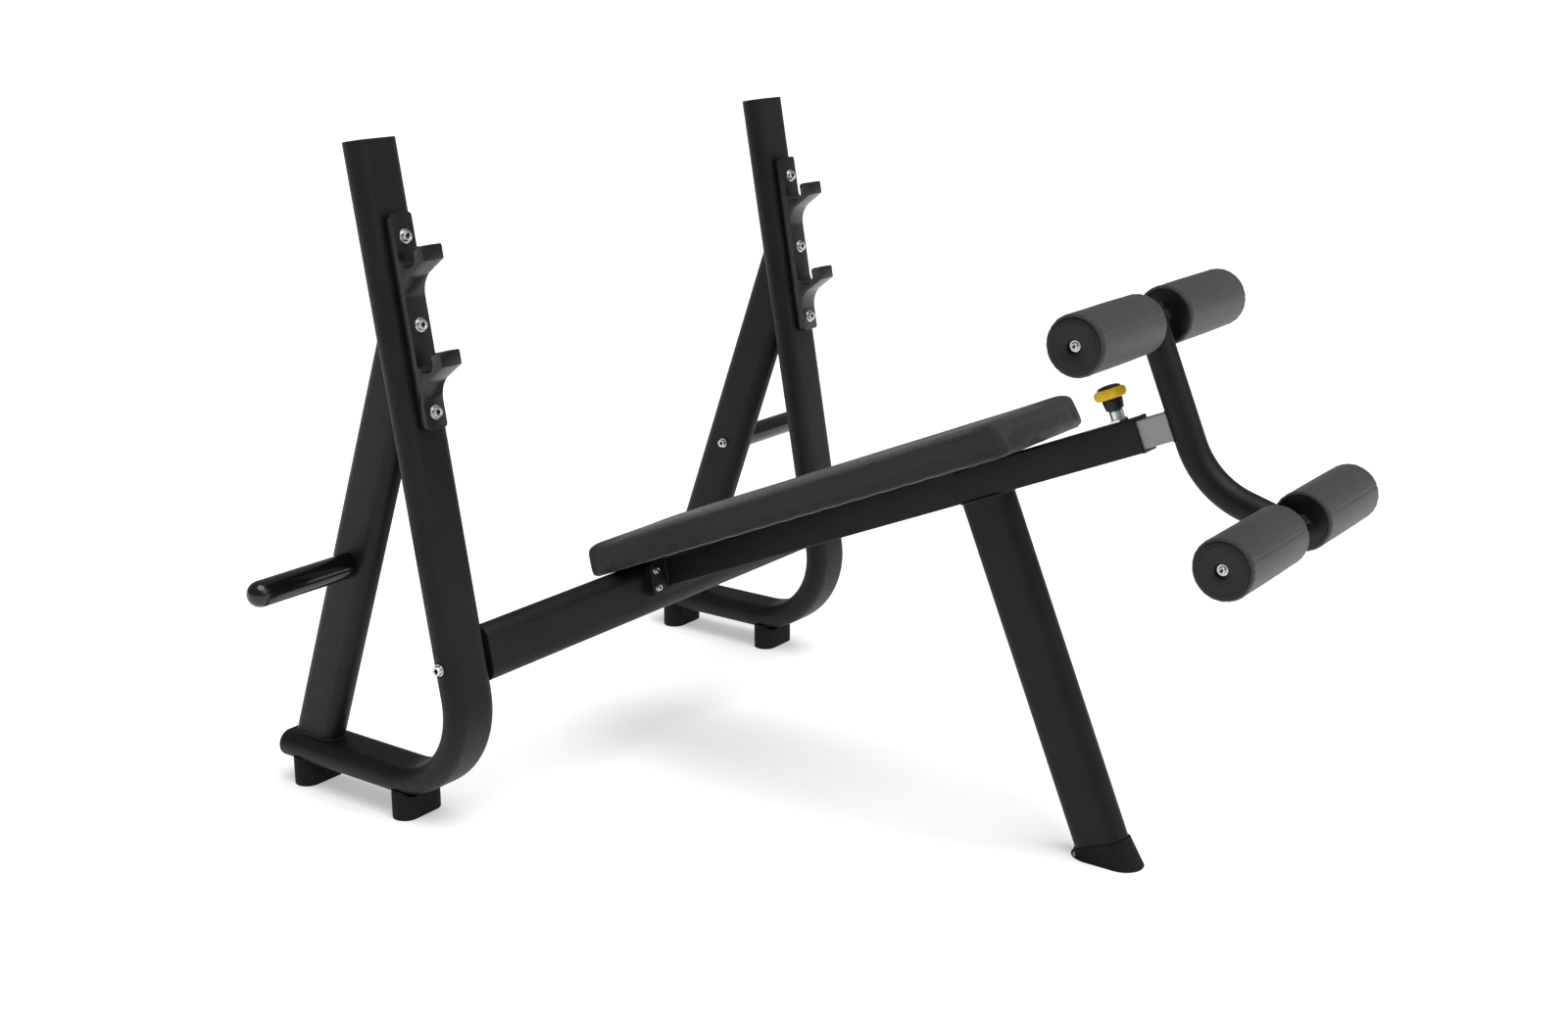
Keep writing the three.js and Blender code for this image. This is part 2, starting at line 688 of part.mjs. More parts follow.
piece(sloping, 'slide_tube', slideTube(), satinGrey);

// axle centres in the beam's frame, as [distance along the beam, height above its underside]
const bendEndPlace = postPlace + postBendRadius * (1 - Math.cos(postBendAngle));
const bendEndHeight = postBendStart - postBendRadius * Math.sin(postBendAngle);
const axles = {
  upper: [postPlace, postBendStart + postUpper],
  lower: [
    bendEndPlace + postLower * Math.sin(postBendAngle),
    bendEndHeight - postLower * Math.cos(postBendAngle),
  ],
};

function circle(radius, count) {
  return Array.from({ length: count }, (_, i) => {
    const angle = 2 * Math.PI * i / count;
    return new THREE.Vector2(radius * Math.cos(angle), radius * Math.sin(angle));
  });
}

function rollerPost() {
  const down = -Math.PI / 2;
  const end = down - postBendAngle;
  const footRun = postEnd * Math.sin(postBendAngle);
  const footDrop = postEnd * Math.cos(postBendAngle);
  const path = new PlanarPath()
    .add(-postPlace, axles.upper[1] + postEnd, down)
    .bend(-postPlace - postBendRadius, postBendStart, postBendRadius, down, end, 6)
    .add(-axles.lower[0] - footRun, axles.lower[1] - footDrop, end);
  const tube = sweep(tubeShape(circle(postRadius, 20), circle(postRadius - postWall, 20)), path);
  const bores = Object.values(axles).map(([along, above]) => (
    acrossX(rod(axleRadius + gap, -2 * postRadius, 2 * postRadius)).translate(0, -along, above)
  ));
  return cut(tube, ...bores);
}

piece(sloping, 'roller_post', rollerPost(), blackPowder);

const axleEnd = rollerOuter - axleRecessDepth;
const axleThread = axleBoltSize.shank + gap;
const threadDepth = 20;

function rollerAxle() {
  const collarOut = rollerInner - runningGap;
  const collarIn = postRadius + gap;
  return acrossX(turned([
    [0, threadDepth - axleEnd], [axleThread, threadDepth - axleEnd],
    [axleThread, -axleEnd], [axleRadius, -axleEnd],
    [axleRadius, -collarOut], [axleCollarRadius, -collarOut],
    [axleCollarRadius, -collarIn], [axleRadius, -collarIn],
    [axleRadius, collarIn], [axleCollarRadius, collarIn],
    [axleCollarRadius, collarOut], [axleRadius, collarOut],
    [axleRadius, axleEnd], [axleThread, axleEnd],
    [axleThread, axleEnd - threadDepth], [0, axleEnd - threadDepth],
  ]));
}

// ---------------------------------------------------------------- rollers

const rollerSides = 20;
const coreBore = axleRadius + runningGap;

// moulded core with a disc at each end; profile from the inner end outwards
function rollerCore() {
  const discIn = rollerInner + rollerDiscDepth;
  const discOut = rollerOuter - rollerDiscDepth;
  return acrossX(turned([
    [coreBore, rollerInner], [rollerDiscRadius, rollerInner], [rollerDiscRadius, discIn],
    [rollerCoreRadius, discIn], [rollerCoreRadius, discOut], [rollerDiscRadius, discOut],
    [rollerDiscRadius, rollerOuter], [axleRecessRadius, rollerOuter], [axleRecessRadius, axleEnd],
    [coreBore, axleEnd], [coreBore, rollerInner],
  ], rollerSides));
}

function foamRoller() {
  const pocket = rollerDiscRadius + gap;
  const sleeve = rollerCoreRadius + gap;
  const from = rollerInner + 1;
  const to = rollerOuter - 1;
  const floorIn = rollerInner + rollerDiscDepth + gap;
  const floorOut = rollerOuter - rollerDiscDepth - gap;
  const flat = rollerRadius - rollerRound;
  const profile = [[sleeve, floorIn], [pocket, floorIn], [pocket, from]];
  for (let i = 1; i <= 3; i += 1) {
    const angle = Math.PI / 2 * i / 3;
    profile.push([flat + rollerRound * Math.sin(angle), from + rollerRound * (1 - Math.cos(angle))]);
  }
  for (let i = 3; i >= 1; i -= 1) {
    const angle = Math.PI / 2 * i / 3;
    profile.push([flat + rollerRound * Math.sin(angle), to - rollerRound * (1 - Math.cos(angle))]);
  }
  profile.push([pocket, to], [pocket, floorOut], [sleeve, floorOut], [sleeve, floorIn]);
  return acrossX(turned(profile, rollerSides));
}

for (const [level, [along, above]] of Object.entries(axles)) {
  piece(sloping, `axle_${level}`, rollerAxle(), zinc, [0, -along, above]);
  for (const [side, sign] of [['left', -1], ['right', 1]]) {
    const turn = [0, sign > 0 ? 0 : Math.PI, 0];
    piece(sloping, `roller_core_${level}_${side}`, rollerCore(), plasticBlack, [0, -along, above], turn);
    piece(sloping, `foam_roller_${level}_${side}`, foamRoller(), vinyl, [0, -along, above], turn);
    const endBolt = acrossX(bolt(axleBoltSize, threadDepth - 2));
    piece(sloping, `axle_bolt_${level}_${side}`, endBolt, zinc, [sign * (axleEnd + gap), -along, above], turn);
  }
}

// ---------------------------------------------------------------- pull pin

const pin = new THREE.Group();
pin.position.y = -pinPlace;
sloping.add(pin);

const barrelSeat = beamTall + gap;
const studBottom = slideTop + pinStudClearance;
const cavityBottom = studBottom + pinEndWall;
const cavityTop = pinBarrelTop - pinEndWall;
const pinBearing = pinRadius + runningGap;
const collarBottom = cavityBottom + gap;
const collarTop = collarBottom + pinCollarTall;

piece(pin, 'pin_barrel', turned([
  [pinBearing, studBottom], [pinStudRadius, studBottom],
  [pinStudRadius, barrelSeat], [pinBarrelRadius, barrelSeat],
  [pinBarrelRadius, pinBarrelTop], [pinBearing, pinBarrelTop], [pinBearing, cavityTop],
  [pinCavityRadius, cavityTop], [pinCavityRadius, cavityBottom],
  [pinBearing, cavityBottom], [pinBearing, studBottom],
]), zinc);

const pinTip = slideTop + pinTipClearance;
const pinRodTop = knobHubTop - pinKnobDepth;
piece(pin, 'pin_plunger', turned([
  [0, pinTip], [pinRadius, pinTip], [pinRadius, collarBottom], [pinCollarRadius, collarBottom],
  [pinCollarRadius, collarTop], [pinRadius, collarTop], [pinRadius, pinRodTop], [0, pinRodTop],
]), zinc);

// a compression spring between the plunger's collar and the top of the barrel
function pinSpring() {
  const meanRadius = (pinBearing + pinCavityRadius) / 2;
  const bottom = collarTop + gap + springWire / 2;
  const rise = cavityTop - gap - springWire / 2 - bottom;
  class Coil extends THREE.Curve {
    getPoint(t) {
      const angle = 2 * Math.PI * springCoils * t;
      return new THREE.Vector3(meanRadius * Math.cos(angle), meanRadius * Math.sin(angle), bottom + rise * t);
    }
  }
  const section = new THREE.Shape(circle(springWire / 2, 5));
  return new THREE.ExtrudeGeometry(section, { extrudePath: new Coil(), steps: springCoils * springSteps });
}

piece(pin, 'pin_spring', pinSpring(), zinc);

// knob: a hub and core that carry the ring, closed by a low dome
const hubBottom = pinBarrelTop + gap;
piece(pin, 'knob', cut(turned([
  [0, hubBottom], [knobHubRadius * knobHubFoot[0], hubBottom], [knobHubRadius, pinBarrelTop + knobHubFoot[1]],
  [knobHubRadius, knobHubTop], [knobCoreRadius, knobHubTop], [knobCoreRadius, knobRingTop + gap],
  [knobDomeRadius, knobRingTop + gap], [knobDomeRadius - knobDomeRim * 1.5, knobTop - knobDomeRim],
  [knobDomeRadius / 2, knobTop], [0, knobTop],
]), rod(pinRadius + gap, 0, pinRodTop + gap)), plasticBlack);

// yellow grip ring with shallow lobes
function knobRing() {
  const sides = 4 * knobLobes;
  const outer = circle(knobRingRadius, sides).map((point) => {
    const lobe = knobLobeDepth * (1 - Math.cos(knobLobes * point.angle())) / 2;
    return point.setLength(knobRingRadius - lobe);
  });
  const shape = tubeShape(outer, circle(knobCoreRadius + knobRingWall, 16));
  const options = {
    bevelEnabled: true, bevelThickness: knobRingBevel, bevelSize: knobRingBevel, bevelOffset: -knobRingBevel,
    bevelSegments: 1,
  };
  return prism(shape, knobRingBottom, knobRingTop, options);
}

piece(pin, 'knob_ring', knobRing(), yellowPlastic);

// ---------------------------------------------------------------- origin

bench.updateMatrixWorld(true);
const extent = new THREE.Box3().setFromObject(bench, true);
layout.position.y = -(extent.min.y + extent.max.y) / 2;
bench.updateMatrixWorld(true);

export default bench;
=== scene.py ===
import json
import math

import bmesh
import bpy
from mathutils import Matrix, Vector, noise


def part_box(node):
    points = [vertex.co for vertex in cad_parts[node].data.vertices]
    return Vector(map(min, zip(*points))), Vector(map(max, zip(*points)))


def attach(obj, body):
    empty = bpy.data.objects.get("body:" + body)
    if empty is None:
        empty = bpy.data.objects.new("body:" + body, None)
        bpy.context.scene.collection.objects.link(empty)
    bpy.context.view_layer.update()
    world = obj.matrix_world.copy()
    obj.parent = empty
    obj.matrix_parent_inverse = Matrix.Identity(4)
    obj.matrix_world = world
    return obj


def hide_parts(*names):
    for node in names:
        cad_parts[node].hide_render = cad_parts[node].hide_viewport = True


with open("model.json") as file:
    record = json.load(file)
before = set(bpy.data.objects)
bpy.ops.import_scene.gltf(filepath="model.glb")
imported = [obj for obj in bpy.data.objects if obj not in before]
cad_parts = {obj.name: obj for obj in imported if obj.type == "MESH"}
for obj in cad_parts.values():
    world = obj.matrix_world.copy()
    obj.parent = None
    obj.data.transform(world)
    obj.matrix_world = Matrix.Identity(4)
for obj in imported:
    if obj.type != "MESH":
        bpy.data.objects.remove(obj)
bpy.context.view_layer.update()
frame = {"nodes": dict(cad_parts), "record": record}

bodies = frame["record"]["behaviour"]["bodies"]
body_of_node = {node: body for body, nodes in bodies.items() for node in nodes}
slot_of_node = {part["node"]: part["material_slot"] for part in frame["record"]["subparts"]}

# ---------------------------------------------------------------- frames of reference, in millimetres

MM = 0.001
LEAN = math.radians(9.9)
SLOPE = math.radians(22.79)
TAU = 2 * math.pi
REAR_END = 557
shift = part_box("base_cap_left")[1].y - REAR_END * MM
layout = Matrix.Translation((0, shift, 0)) @ Matrix.Scale(MM, 4)
lean_turn = Matrix.Rotation(-LEAN, 4, "X")
lean = layout @ lean_turn
JOINT_DEPTH = 16.6
BEAM_FOOT = 347.2
beam_foot = lean_turn @ Vector((0, -JOINT_DEPTH, BEAM_FOOT))
beam_in_layout = Matrix.Translation(beam_foot) @ Matrix.Rotation(-SLOPE, 4, "X")
beam = layout @ beam_in_layout
SIDES = (("left", -1), ("right", 1))
HALF_SPACING = 592.5
GAP = 0.3
TUBE_WIDE, TUBE_THICK = 109, 54.5
HALF_WIDE, HALF_THICK = TUBE_WIDE / 2, TUBE_THICK / 2
ROUND = 48


def at(x, y, z):
    return Matrix.Translation((x, y, z))


def turn(degrees, axis):
    return Matrix.Rotation(math.radians(degrees), 4, axis)


# ---------------------------------------------------------------- mesh building

class Shell:
    """Closed skins over rings of points, collected into one mesh; dark holds the faces of a bolt's socket,
    which are given a darker steel as painted shade.
    """

    def __init__(self, place=Matrix.Identity(4)):
        self.place = place
        self.points = []
        self.faces = []
        self.dark = set()

    def skin(self, rings, loop=False):
        rows = []
        for ring in rings:
            start = len(self.points)
            self.points += [self.place @ Vector(p) for p in ring]
            rows.append(range(start, start + len(ring)))
        pairs = list(zip(rows, rows[1:]))
        if loop:
            pairs.append((rows[-1], rows[0]))
        for a, b in pairs:
            n = len(a)
            self.faces += [(a[i], a[(i + 1) % n], b[(i + 1) % n], b[i]) for i in range(n)]
        if not loop:
            self.faces.append(tuple(reversed(rows[0])))
            self.faces.append(tuple(rows[-1]))
        return self

    def mesh(self, name, split_above=None):
        """The collected skins as a mesh with its faces turned outwards; larger faces may be split."""
        mesh = bpy.data.meshes.new(name)
        mesh.from_pydata([tuple(p) for p in self.points], [], self.faces)
        form = bmesh.new()
        form.from_mesh(mesh)
        if split_above:
            bmesh.ops.triangulate(form, faces=[f for f in form.faces if len(f.verts) > split_above])
        bmesh.ops.recalc_face_normals(form, faces=form.faces)
        form.to_mesh(mesh)
        form.free()
        return mesh

    def piece(self, name, material, body, slot, nodes=(), sharp=38):
        mesh = self.mesh(name)
        mesh.shade_smooth()
        mesh.set_sharp_from_angle(angle=math.radians(sharp))
        piece = settle(name, mesh, material, body, nodes)
        if self.dark:
            # the socket's faces get the darker steel as painted shade
            mesh.materials.append(socket_shade_steel)
            for index in self.dark:
                mesh.polygons[index].material_index = 1
        return piece


def settle(name, mesh, material, body, nodes=()):
    obj = bpy.data.objects.new(name, mesh)
    bpy.context.scene.collection.objects.link(obj)
    mesh.materials.clear()
    mesh.materials.append(material)
    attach(obj, body)
    if nodes:
        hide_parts(*nodes)
    return obj


def node_piece(shell, node, material, sharp=38):
    return shell.piece(node + "_form", material, body_of_node[node], slot_of_node.get(node), [node], sharp)


def outline(width, height, radius, steps=8):
    """Points of a rounded rectangle; a radius of half its height gives a flat oval."""
    points = []
    for sx, sy, start in ((1, -1, -90), (1, 1, 0), (-1, 1, 90), (-1, -1, 180)):
        for i in range(steps + 1):
            a = math.radians(start + 90 * i / steps)
            x = sx * (width / 2 - radius) + radius * math.cos(a)
            y = sy * (height / 2 - radius) + radius * math.sin(a)
            if not points or math.hypot(points[-1][0] - x, points[-1][1] - y) > 1e-6:
                points.append((x, y))
    if math.hypot(points[-1][0] - points[0][0], points[-1][1] - points[0][1]) < 1e-6:
        points.pop()
    return points


def oval(grow=0.0, steps=9):
    """The section of the frame's flat-oval tube, grown all round."""
    thick = TUBE_THICK + 2 * grow
    return outline(TUBE_WIDE + 2 * grow, thick, thick / 2 - 1e-4, steps)


def edge_steps(edge, steps=3):
    """Inset and rise of each ring over a rounded edge, from the face outwards."""
    if edge <= 0:
        return [(0, 0)]
    return [(edge * (1 - math.sin(a)), edge * (1 - math.cos(a)))
            for a in (math.pi / 2 * k / steps for k in range(steps + 1))]


def rounded_prism(shell, shape, low, high, edge_low=0.0, edge_high=0.0, to=None):
    """shape(inset) gives the outline; to(x, y, z) places a point of the prism."""
    to = to or (lambda x, y, z: (x, y, z))
    rings = [[to(x, y, low + rise) for x, y in shape(inset)]
             for inset, rise in edge_steps(edge_low)]
    rings += [[to(x, y, high - rise) for x, y in shape(inset)]
              for inset, rise in reversed(edge_steps(edge_high))]
    return shell.skin(rings)


def plate_shape(width, height, radius, steps=6):
    return lambda inset: outline(width - 2 * inset, height - 2 * inset, max(radius - inset, 0.3), steps)


def circle(radius, count=ROUND, z=0.0):
    angles = [TAU * i / count for i in range(count)]
    return [(radius * math.cos(a), radius * math.sin(a), z) for a in angles]


def hexagon(apothem, z=0.0):
    """A hexagon with as many points as a circle, so that the two join ring to ring."""
    points = []
    for i in range(ROUND):
        a = TAU * i / ROUND
        r = apothem / math.cos((a + math.pi / 6) % (math.pi / 3) - math.pi / 6)
        points.append((r * math.cos(a), r * math.sin(a), z))
    return points


def lathe(shell, profile, count=ROUND, loop=False):
    return shell.skin([circle(r, count, z) for r, z in profile], loop)


def arc(centre_r, centre_z, radius, start, end, steps=6):
    return [(centre_r + radius * math.cos(math.radians(start + (end - start) * i / steps)),
             centre_z + radius * math.sin(math.radians(start + (end - start) * i / steps)))
            for i in range(steps + 1)]


def meet(point, direction, origin, normal):
    """Where a line through point meets a plane."""
    point, direction, origin, normal = map(Vector, (point, direction, origin, normal))
    return point + direction * ((origin - point).dot(normal) / direction.dot(normal))


def bead(shell, path, radius, closed=True):
    """A weld bead with ripples along a path of points, in the shell's own frame."""
    fine = []
    count = len(path)
    spans = count if closed else count - 1
    for i in range(spans):
        a, b = Vector(path[i]), Vector(path[(i + 1) % count])
        parts = max(1, int((b - a).length / 1.6))
        fine += [a.lerp(b, k / parts) for k in range(parts)]
    if not closed:
        fine.append(Vector(path[-1]))
    rings, run = [], 0.0
    total = len(fine)
    for i, p in enumerate(fine):
        ahead = fine[(i + 1) % total] if closed else fine[min(i + 1, total - 1)]
        behind = fine[i - 1] if closed or i else fine[0]
        tangent = (ahead - behind).normalized()
        side = tangent.orthogonal() if i == 0 else side - tangent * side.dot(tangent)
        side.normalize()
        other = tangent.cross(side)
        run += (p - fine[i - 1]).length if i else 0
        swell = 1 + 0.16 * math.sin(TAU * run / 3.4) + 0.18 * noise.noise(p * 0.09)
        if not closed:
            swell *= min(1, 0.35 + min(i, total - 1 - i) * 0.3)
        rings.append([p + (side * math.cos(a) + other * math.sin(a)) * radius * swell
                      for a in (TAU * k / 8 for k in range(8))])
    if closed:
        # the frame may twist round the loop, so the last ring is matched to the first by its nearest point
        first = rings[0][0]
        step = min(range(8), key=lambda k: (rings[-1][k] - first).length)
        if step:
            share = step if step <= 4 else step - 8
            for i, ring in enumerate(rings):
                p, a0 = fine[i], TAU * share / 8 * i / total
                tangent = (fine[(i + 1) % total] - fine[i - 1]).normalized()
                spin = Matrix.Rotation(a0, 3, tangent)
                rings[i] = [p + spin @ (q - p) for q in ring]
    return shell.skin(rings, closed)


# ---------------------------------------------------------------- materials

def linear(code):
    parts = [int(code[i:i + 2], 16) / 255 for i in (1, 3, 5)]
    return tuple(c / 12.92 if c <= 0.04045 else ((c + 0.055) / 1.055) ** 2.4 for c in parts) + (1.0,)


class Look:
    """A Principled material with helpers for its noise, grain and bump."""

    def __init__(self, name, roughness, metallic=0.0, **sockets):
        self.material = bpy.data.materials.new(name)
        self.material.use_nodes = True
        self.tree = self.material.node_tree
        self.shader = self.tree.nodes["Principled BSDF"]
        self.shader.inputs["Metallic"].default_value = metallic
        self.shader.inputs["Roughness"].default_value = roughness
        for socket, value in sockets.items():
            self.shader.inputs[socket.replace("_", " ")].default_value = value
        self.coordinates = self.tree.nodes.new("ShaderNodeTexCoord").outputs["Object"]
        self.last_normal = None

    def node(self, kind, **settings):
        made = self.tree.nodes.new(kind)
        for key, value in settings.items():
            setattr(made, key, value)
        return made

    def link(self, a, b):
        self.tree.links.new(a, b)

    def noise(self, scale, detail=3.0, roughness=0.55, distortion=0.0, stretch=None):
        made = self.node("ShaderNodeTexNoise")
        made.inputs["Scale"].default_value = scale
        made.inputs["Detail"].default_value = detail
        made.inputs["Roughness"].default_value = roughness
        made.inputs["Distortion"].default_value = distortion
        source = self.coordinates
        if stretch:
            mapping = self.node("ShaderNodeMapping")
            mapping.inputs["Scale"].default_value = stretch
            self.link(source, mapping.inputs["Vector"])
            source = mapping.outputs["Vector"]
        self.link(source, made.inputs["Vector"])
        return made.outputs["Fac"]

    def cells(self, scale, feature):
        made = self.node("ShaderNodeTexVoronoi", feature=feature)
        made.inputs["Scale"].default_value = scale
        if feature == "SMOOTH_F1":
            made.inputs["Smoothness"].default_value = 0.3
        self.link(self.coordinates, made.inputs["Vector"])
        return made.outputs["Distance"]

    def ranged(self, value, low, high, to_low=0.0, to_high=1.0):
        made = self.node("ShaderNodeMapRange")
        limits = {"From Min": low, "From Max": high, "To Min": to_low, "To Max": to_high}
        for socket, number in limits.items():
            made.inputs[socket].default_value = number
        self.link(value, made.inputs["Value"])
        return made.outputs["Result"]

    def mixed(self, factor, a, b):
        made = self.node("ShaderNodeMix", data_type="RGBA")
        self.link(factor, made.inputs["Factor"])
        for socket, value in ((made.inputs[6], a), (made.inputs[7], b)):
            if isinstance(value, tuple):
                socket.default_value = value
            else:
                self.link(value, socket)
        return made.outputs[2]

    def multiplied(self, a, b):
        made = self.node("ShaderNodeMath", operation="MULTIPLY")
        self.link(a, made.inputs[0])
        self.link(b, made.inputs[1])
        return made.outputs[0]

    def edges(self, radius=0.0016):
        """0 on flat faces, up to 1 along an edge."""
        rounded = self.node("ShaderNodeBevel", samples=6)
        rounded.inputs["Radius"].default_value = radius
        plain = self.node("ShaderNodeNewGeometry")
        dot = self.node("ShaderNodeVectorMath", operation="DOT_PRODUCT")
        self.link(rounded.outputs["Normal"], dot.inputs[0])
        self.link(plain.outputs["Normal"], dot.inputs[1])
        return self.ranged(dot.outputs["Value"], 1.0, 0.86)

    def color(self, value):
        self.link(value, self.shader.inputs["Base Color"])

    def rough(self, value):
        self.link(value, self.shader.inputs["Roughness"])

    def bump(self, height, distance, strength):
        made = self.node("ShaderNodeBump")
        made.inputs["Strength"].default_value = strength
        made.inputs["Distance"].default_value = distance
        self.link(height, made.inputs["Height"])
        if self.last_normal:
            self.link(self.last_normal, made.inputs["Normal"])
        self.last_normal = made.outputs["Normal"]
        self.link(self.last_normal, self.shader.inputs["Normal"])


def powder_coat(name, dark, light, rough, grain, edge_wear_and_highlight, **sockets):
    """Baked powder paint: orange-peel grain, soft mottling and paler edges in patches, partly edge wear and
    partly a painted highlight along the rounding.
    """
    look = Look(name, rough, **sockets)
    mottled = look.mixed(look.ranged(look.noise(9, 4), 0.35, 0.68), linear(dark), linear(light))
    patch = look.ranged(look.noise(55, 4), 0.42, 0.62)
    # paler colour along edges in noise patches: partly wear, partly a painted highlight where the rounding
    # catches light
    look.color(look.mixed(look.multiplied(look.edges(), patch), mottled, linear(edge_wear_and_highlight)))
    look.rough(look.ranged(look.noise(140, 3), 0.3, 0.7, rough - 0.05, rough + 0.07))
    look.bump(look.noise(620, 2, 0.5), grain, 0.5)
    look.bump(look.cells(1700, "SMOOTH_F1"), grain * 0.35, 0.4)
    return look.material


def grained_vinyl(name, dark, light, groove_shade, scale, depth, rough):
    """Embossed vinyl: pebble grain with finer creases between, painted shade darkening the grain's grooves,
    faint colour drift and a soft sheen.
    """
    look = Look(name, rough, Sheen_Weight=0.22, Sheen_Roughness=0.4, Specular_IOR_Level=0.35)
    drift = look.ranged(look.noise(7, 4), 0.34, 0.68)
    pebble = look.cells(scale, "DISTANCE_TO_EDGE")
    groove = look.ranged(pebble, 0.0, 0.22)
    base = look.mixed(drift, linear(dark), linear(light))
    # painted shade: the grooves between the pebbles are darker
    look.color(look.mixed(groove, linear(groove_shade), base))
    look.rough(look.ranged(look.noise(260, 3), 0.3, 0.7, rough - 0.06, rough + 0.08))
    look.bump(groove, depth, 0.75)
    look.bump(look.noise(scale * 2.2, 3), depth * 0.35, 0.5)
    return look.material


def brushed(name, base, light, rough, metallic, streak, grain=(1, 1, 1)):
    """Plated or ground metal with fine streaks and faint dull patches."""
    look = Look(name, rough, metallic)
    streaks = look.noise(streak, 5, 0.65, stretch=grain)
    shade = look.mixed(look.ranged(streaks, 0.3, 0.72), linear(base), linear(light))
    stain = look.ranged(look.noise(38, 4), 0.5, 0.75, 0.0, 0.25)
    look.color(look.mixed(stain, shade, linear("#6e6f72")))
    look.rough(look.ranged(streaks, 0.3, 0.7, rough - 0.07, rough + 0.1))
    look.bump(streaks, 0.00006, 0.35)
    return look.material


def moulded(name, dark, light, rough, grain, scale, **sockets):
    """Injection-moulded plastic or rubber with a fine spark grain and faint scuffs."""
    look = Look(name, rough, **sockets)
    look.color(look.mixed(look.ranged(look.noise(24, 4), 0.35, 0.68), linear(dark), linear(light)))
    look.rough(look.ranged(look.noise(90, 4), 0.3, 0.7, rough - 0.06, rough + 0.08))
    look.bump(look.cells(scale, "SMOOTH_F1"), grain, 0.5)
    look.bump(look.noise(scale * 0.4, 3), grain, 0.4)
    return look.material


def wood_plies(name):
    """Black-stained plywood with its grain along the board."""
    look = Look(name, 0.75)
    grain = look.noise(70, 6, 0.6, 0.4, stretch=(1, 0.12, 1))
    look.color(look.mixed(look.ranged(grain, 0.3, 0.7), linear("#15120f"), linear("#211c17")))
    look.bump(grain, 0.0002, 0.4)
    return look.material


frame_coat = powder_coat("frame_powder_coat", "#0d0d0e", "#131314", 0.5, 0.00016, "#2a2a2c",
                         Specular_IOR_Level=0.22)
rack_coat = powder_coat("rack_coat", "#0b0b0f", "#101116", 0.3, 0.00007, "#30323a",
                        Specular_IOR_Level=0.35, Coat_Weight=0.2, Coat_Roughness=0.18)
horn_coat = powder_coat("horn_gloss_coat", "#08080b", "#0d0d12", 0.2, 0.00003, "#2a2b33",
                        Specular_IOR_Level=0.35, Coat_Weight=0.35, Coat_Roughness=0.08)
rubber = moulded("foot_rubber", "#0b0b0b", "#141414", 0.8, 0.00018, 700, Specular_IOR_Level=0.25)
cap_plastic = moulded("cap_plastic", "#0c0c0d", "#121213", 0.5, 0.00008, 1100, Specular_IOR_Level=0.3)
black_plastic = moulded("black_plastic", "#09090a", "#0e0e10", 0.34, 0.00006, 1100, Specular_IOR_Level=0.3)
yellow_plastic = moulded("yellow_plastic", "#d9ae06", "#e8c316", 0.38, 0.00006, 1000,
                         Subsurface_Weight=0.06, Subsurface_Scale=0.004)
pad_vinyl = grained_vinyl("pad_vinyl", "#1c1c1d", "#242425", "#0e0e0f", 420, 0.0004, 0.52)
roller_vinyl = grained_vinyl("roller_vinyl", "#303031", "#3a3a3b", "#1c1c1d", 420, 0.0004, 0.54)
bright_steel = brushed("bright_steel", "#b9bbbe", "#dfe1e3", 0.24, 1.0, 300)
zinc_steel = brushed("zinc_fasteners", "#bfc1c4", "#e4e6e8", 0.26, 1.0, 420)
satin_steel = brushed("satin_slide_steel", "#7c7d7e", "#949596", 0.42, 0.65, 90, (14, 0.6, 14))
plywood = wood_plies("plywood")
# painted shade: a darker steel for the inside of bolt sockets
socket_shade_steel = brushed("socket_shade_steel", "#2b2c2e", "#3a3b3d", 0.45, 0.8, 420)
weld_coat = powder_coat("weld_powder_coat", "#0d0d0e", "#131314", 0.46, 0.0002, "#262628",
                        Specular_IOR_Level=0.3)

# ---------------------------------------------------------------- side frames

BASE_CENTRE = 75.5
BASE_TOP = BASE_CENTRE + HALF_THICK
BASE_BOTTOM = BASE_CENTRE - HALF_THICK
BEND_RADIUS = 172
CAP_TALL = 3
CAP_SEAT = CAP_TALL + GAP
UPRIGHT_TOP = 1300 / math.cos(LEAN) - CAP_SEAT
STRUT_FOOT = 501
STRUT_LEAN = math.radians(19.8)
HORN_BEHIND = 350
HORN_HEIGHT = 487.6
CROSS_HEIGHT = 350
WELD = 2.8
face_rise = (BASE_CENTRE + HALF_THICK * math.sin(LEAN)) / math.cos(LEAN)
corner_y = HALF_THICK * math.cos(LEAN) + face_rise * math.sin(LEAN)
bend_tangent = BEND_RADIUS * math.tan((math.pi / 2 + LEAN) / 2)


def planar_ring(section, y, z, angle):
    """A tube's section where its centre line has that direction in the side plane."""
    return [(u, y - v * math.sin(angle), z + v * math.cos(angle)) for u, v in section]


def upright_tube(place):
    section = oval()
    up = math.pi / 2 - LEAN
    top = lean_turn @ Vector((0, HALF_THICK, UPRIGHT_TOP))
    rings = [planar_ring(section, REAR_END - CAP_SEAT, BASE_CENTRE, math.pi)]
    bend_steps = 28
    for i in range(bend_steps + 1):
        a = math.pi + (up - math.pi) * i / bend_steps
        rings.append(planar_ring(section, corner_y + bend_tangent - BEND_RADIUS * math.sin(a),
                                 BASE_CENTRE + BEND_RADIUS + BEND_RADIUS * math.cos(a), a))
    rings.append(planar_ring(section, top.y, top.z, up))
    return Shell(place).skin(rings)


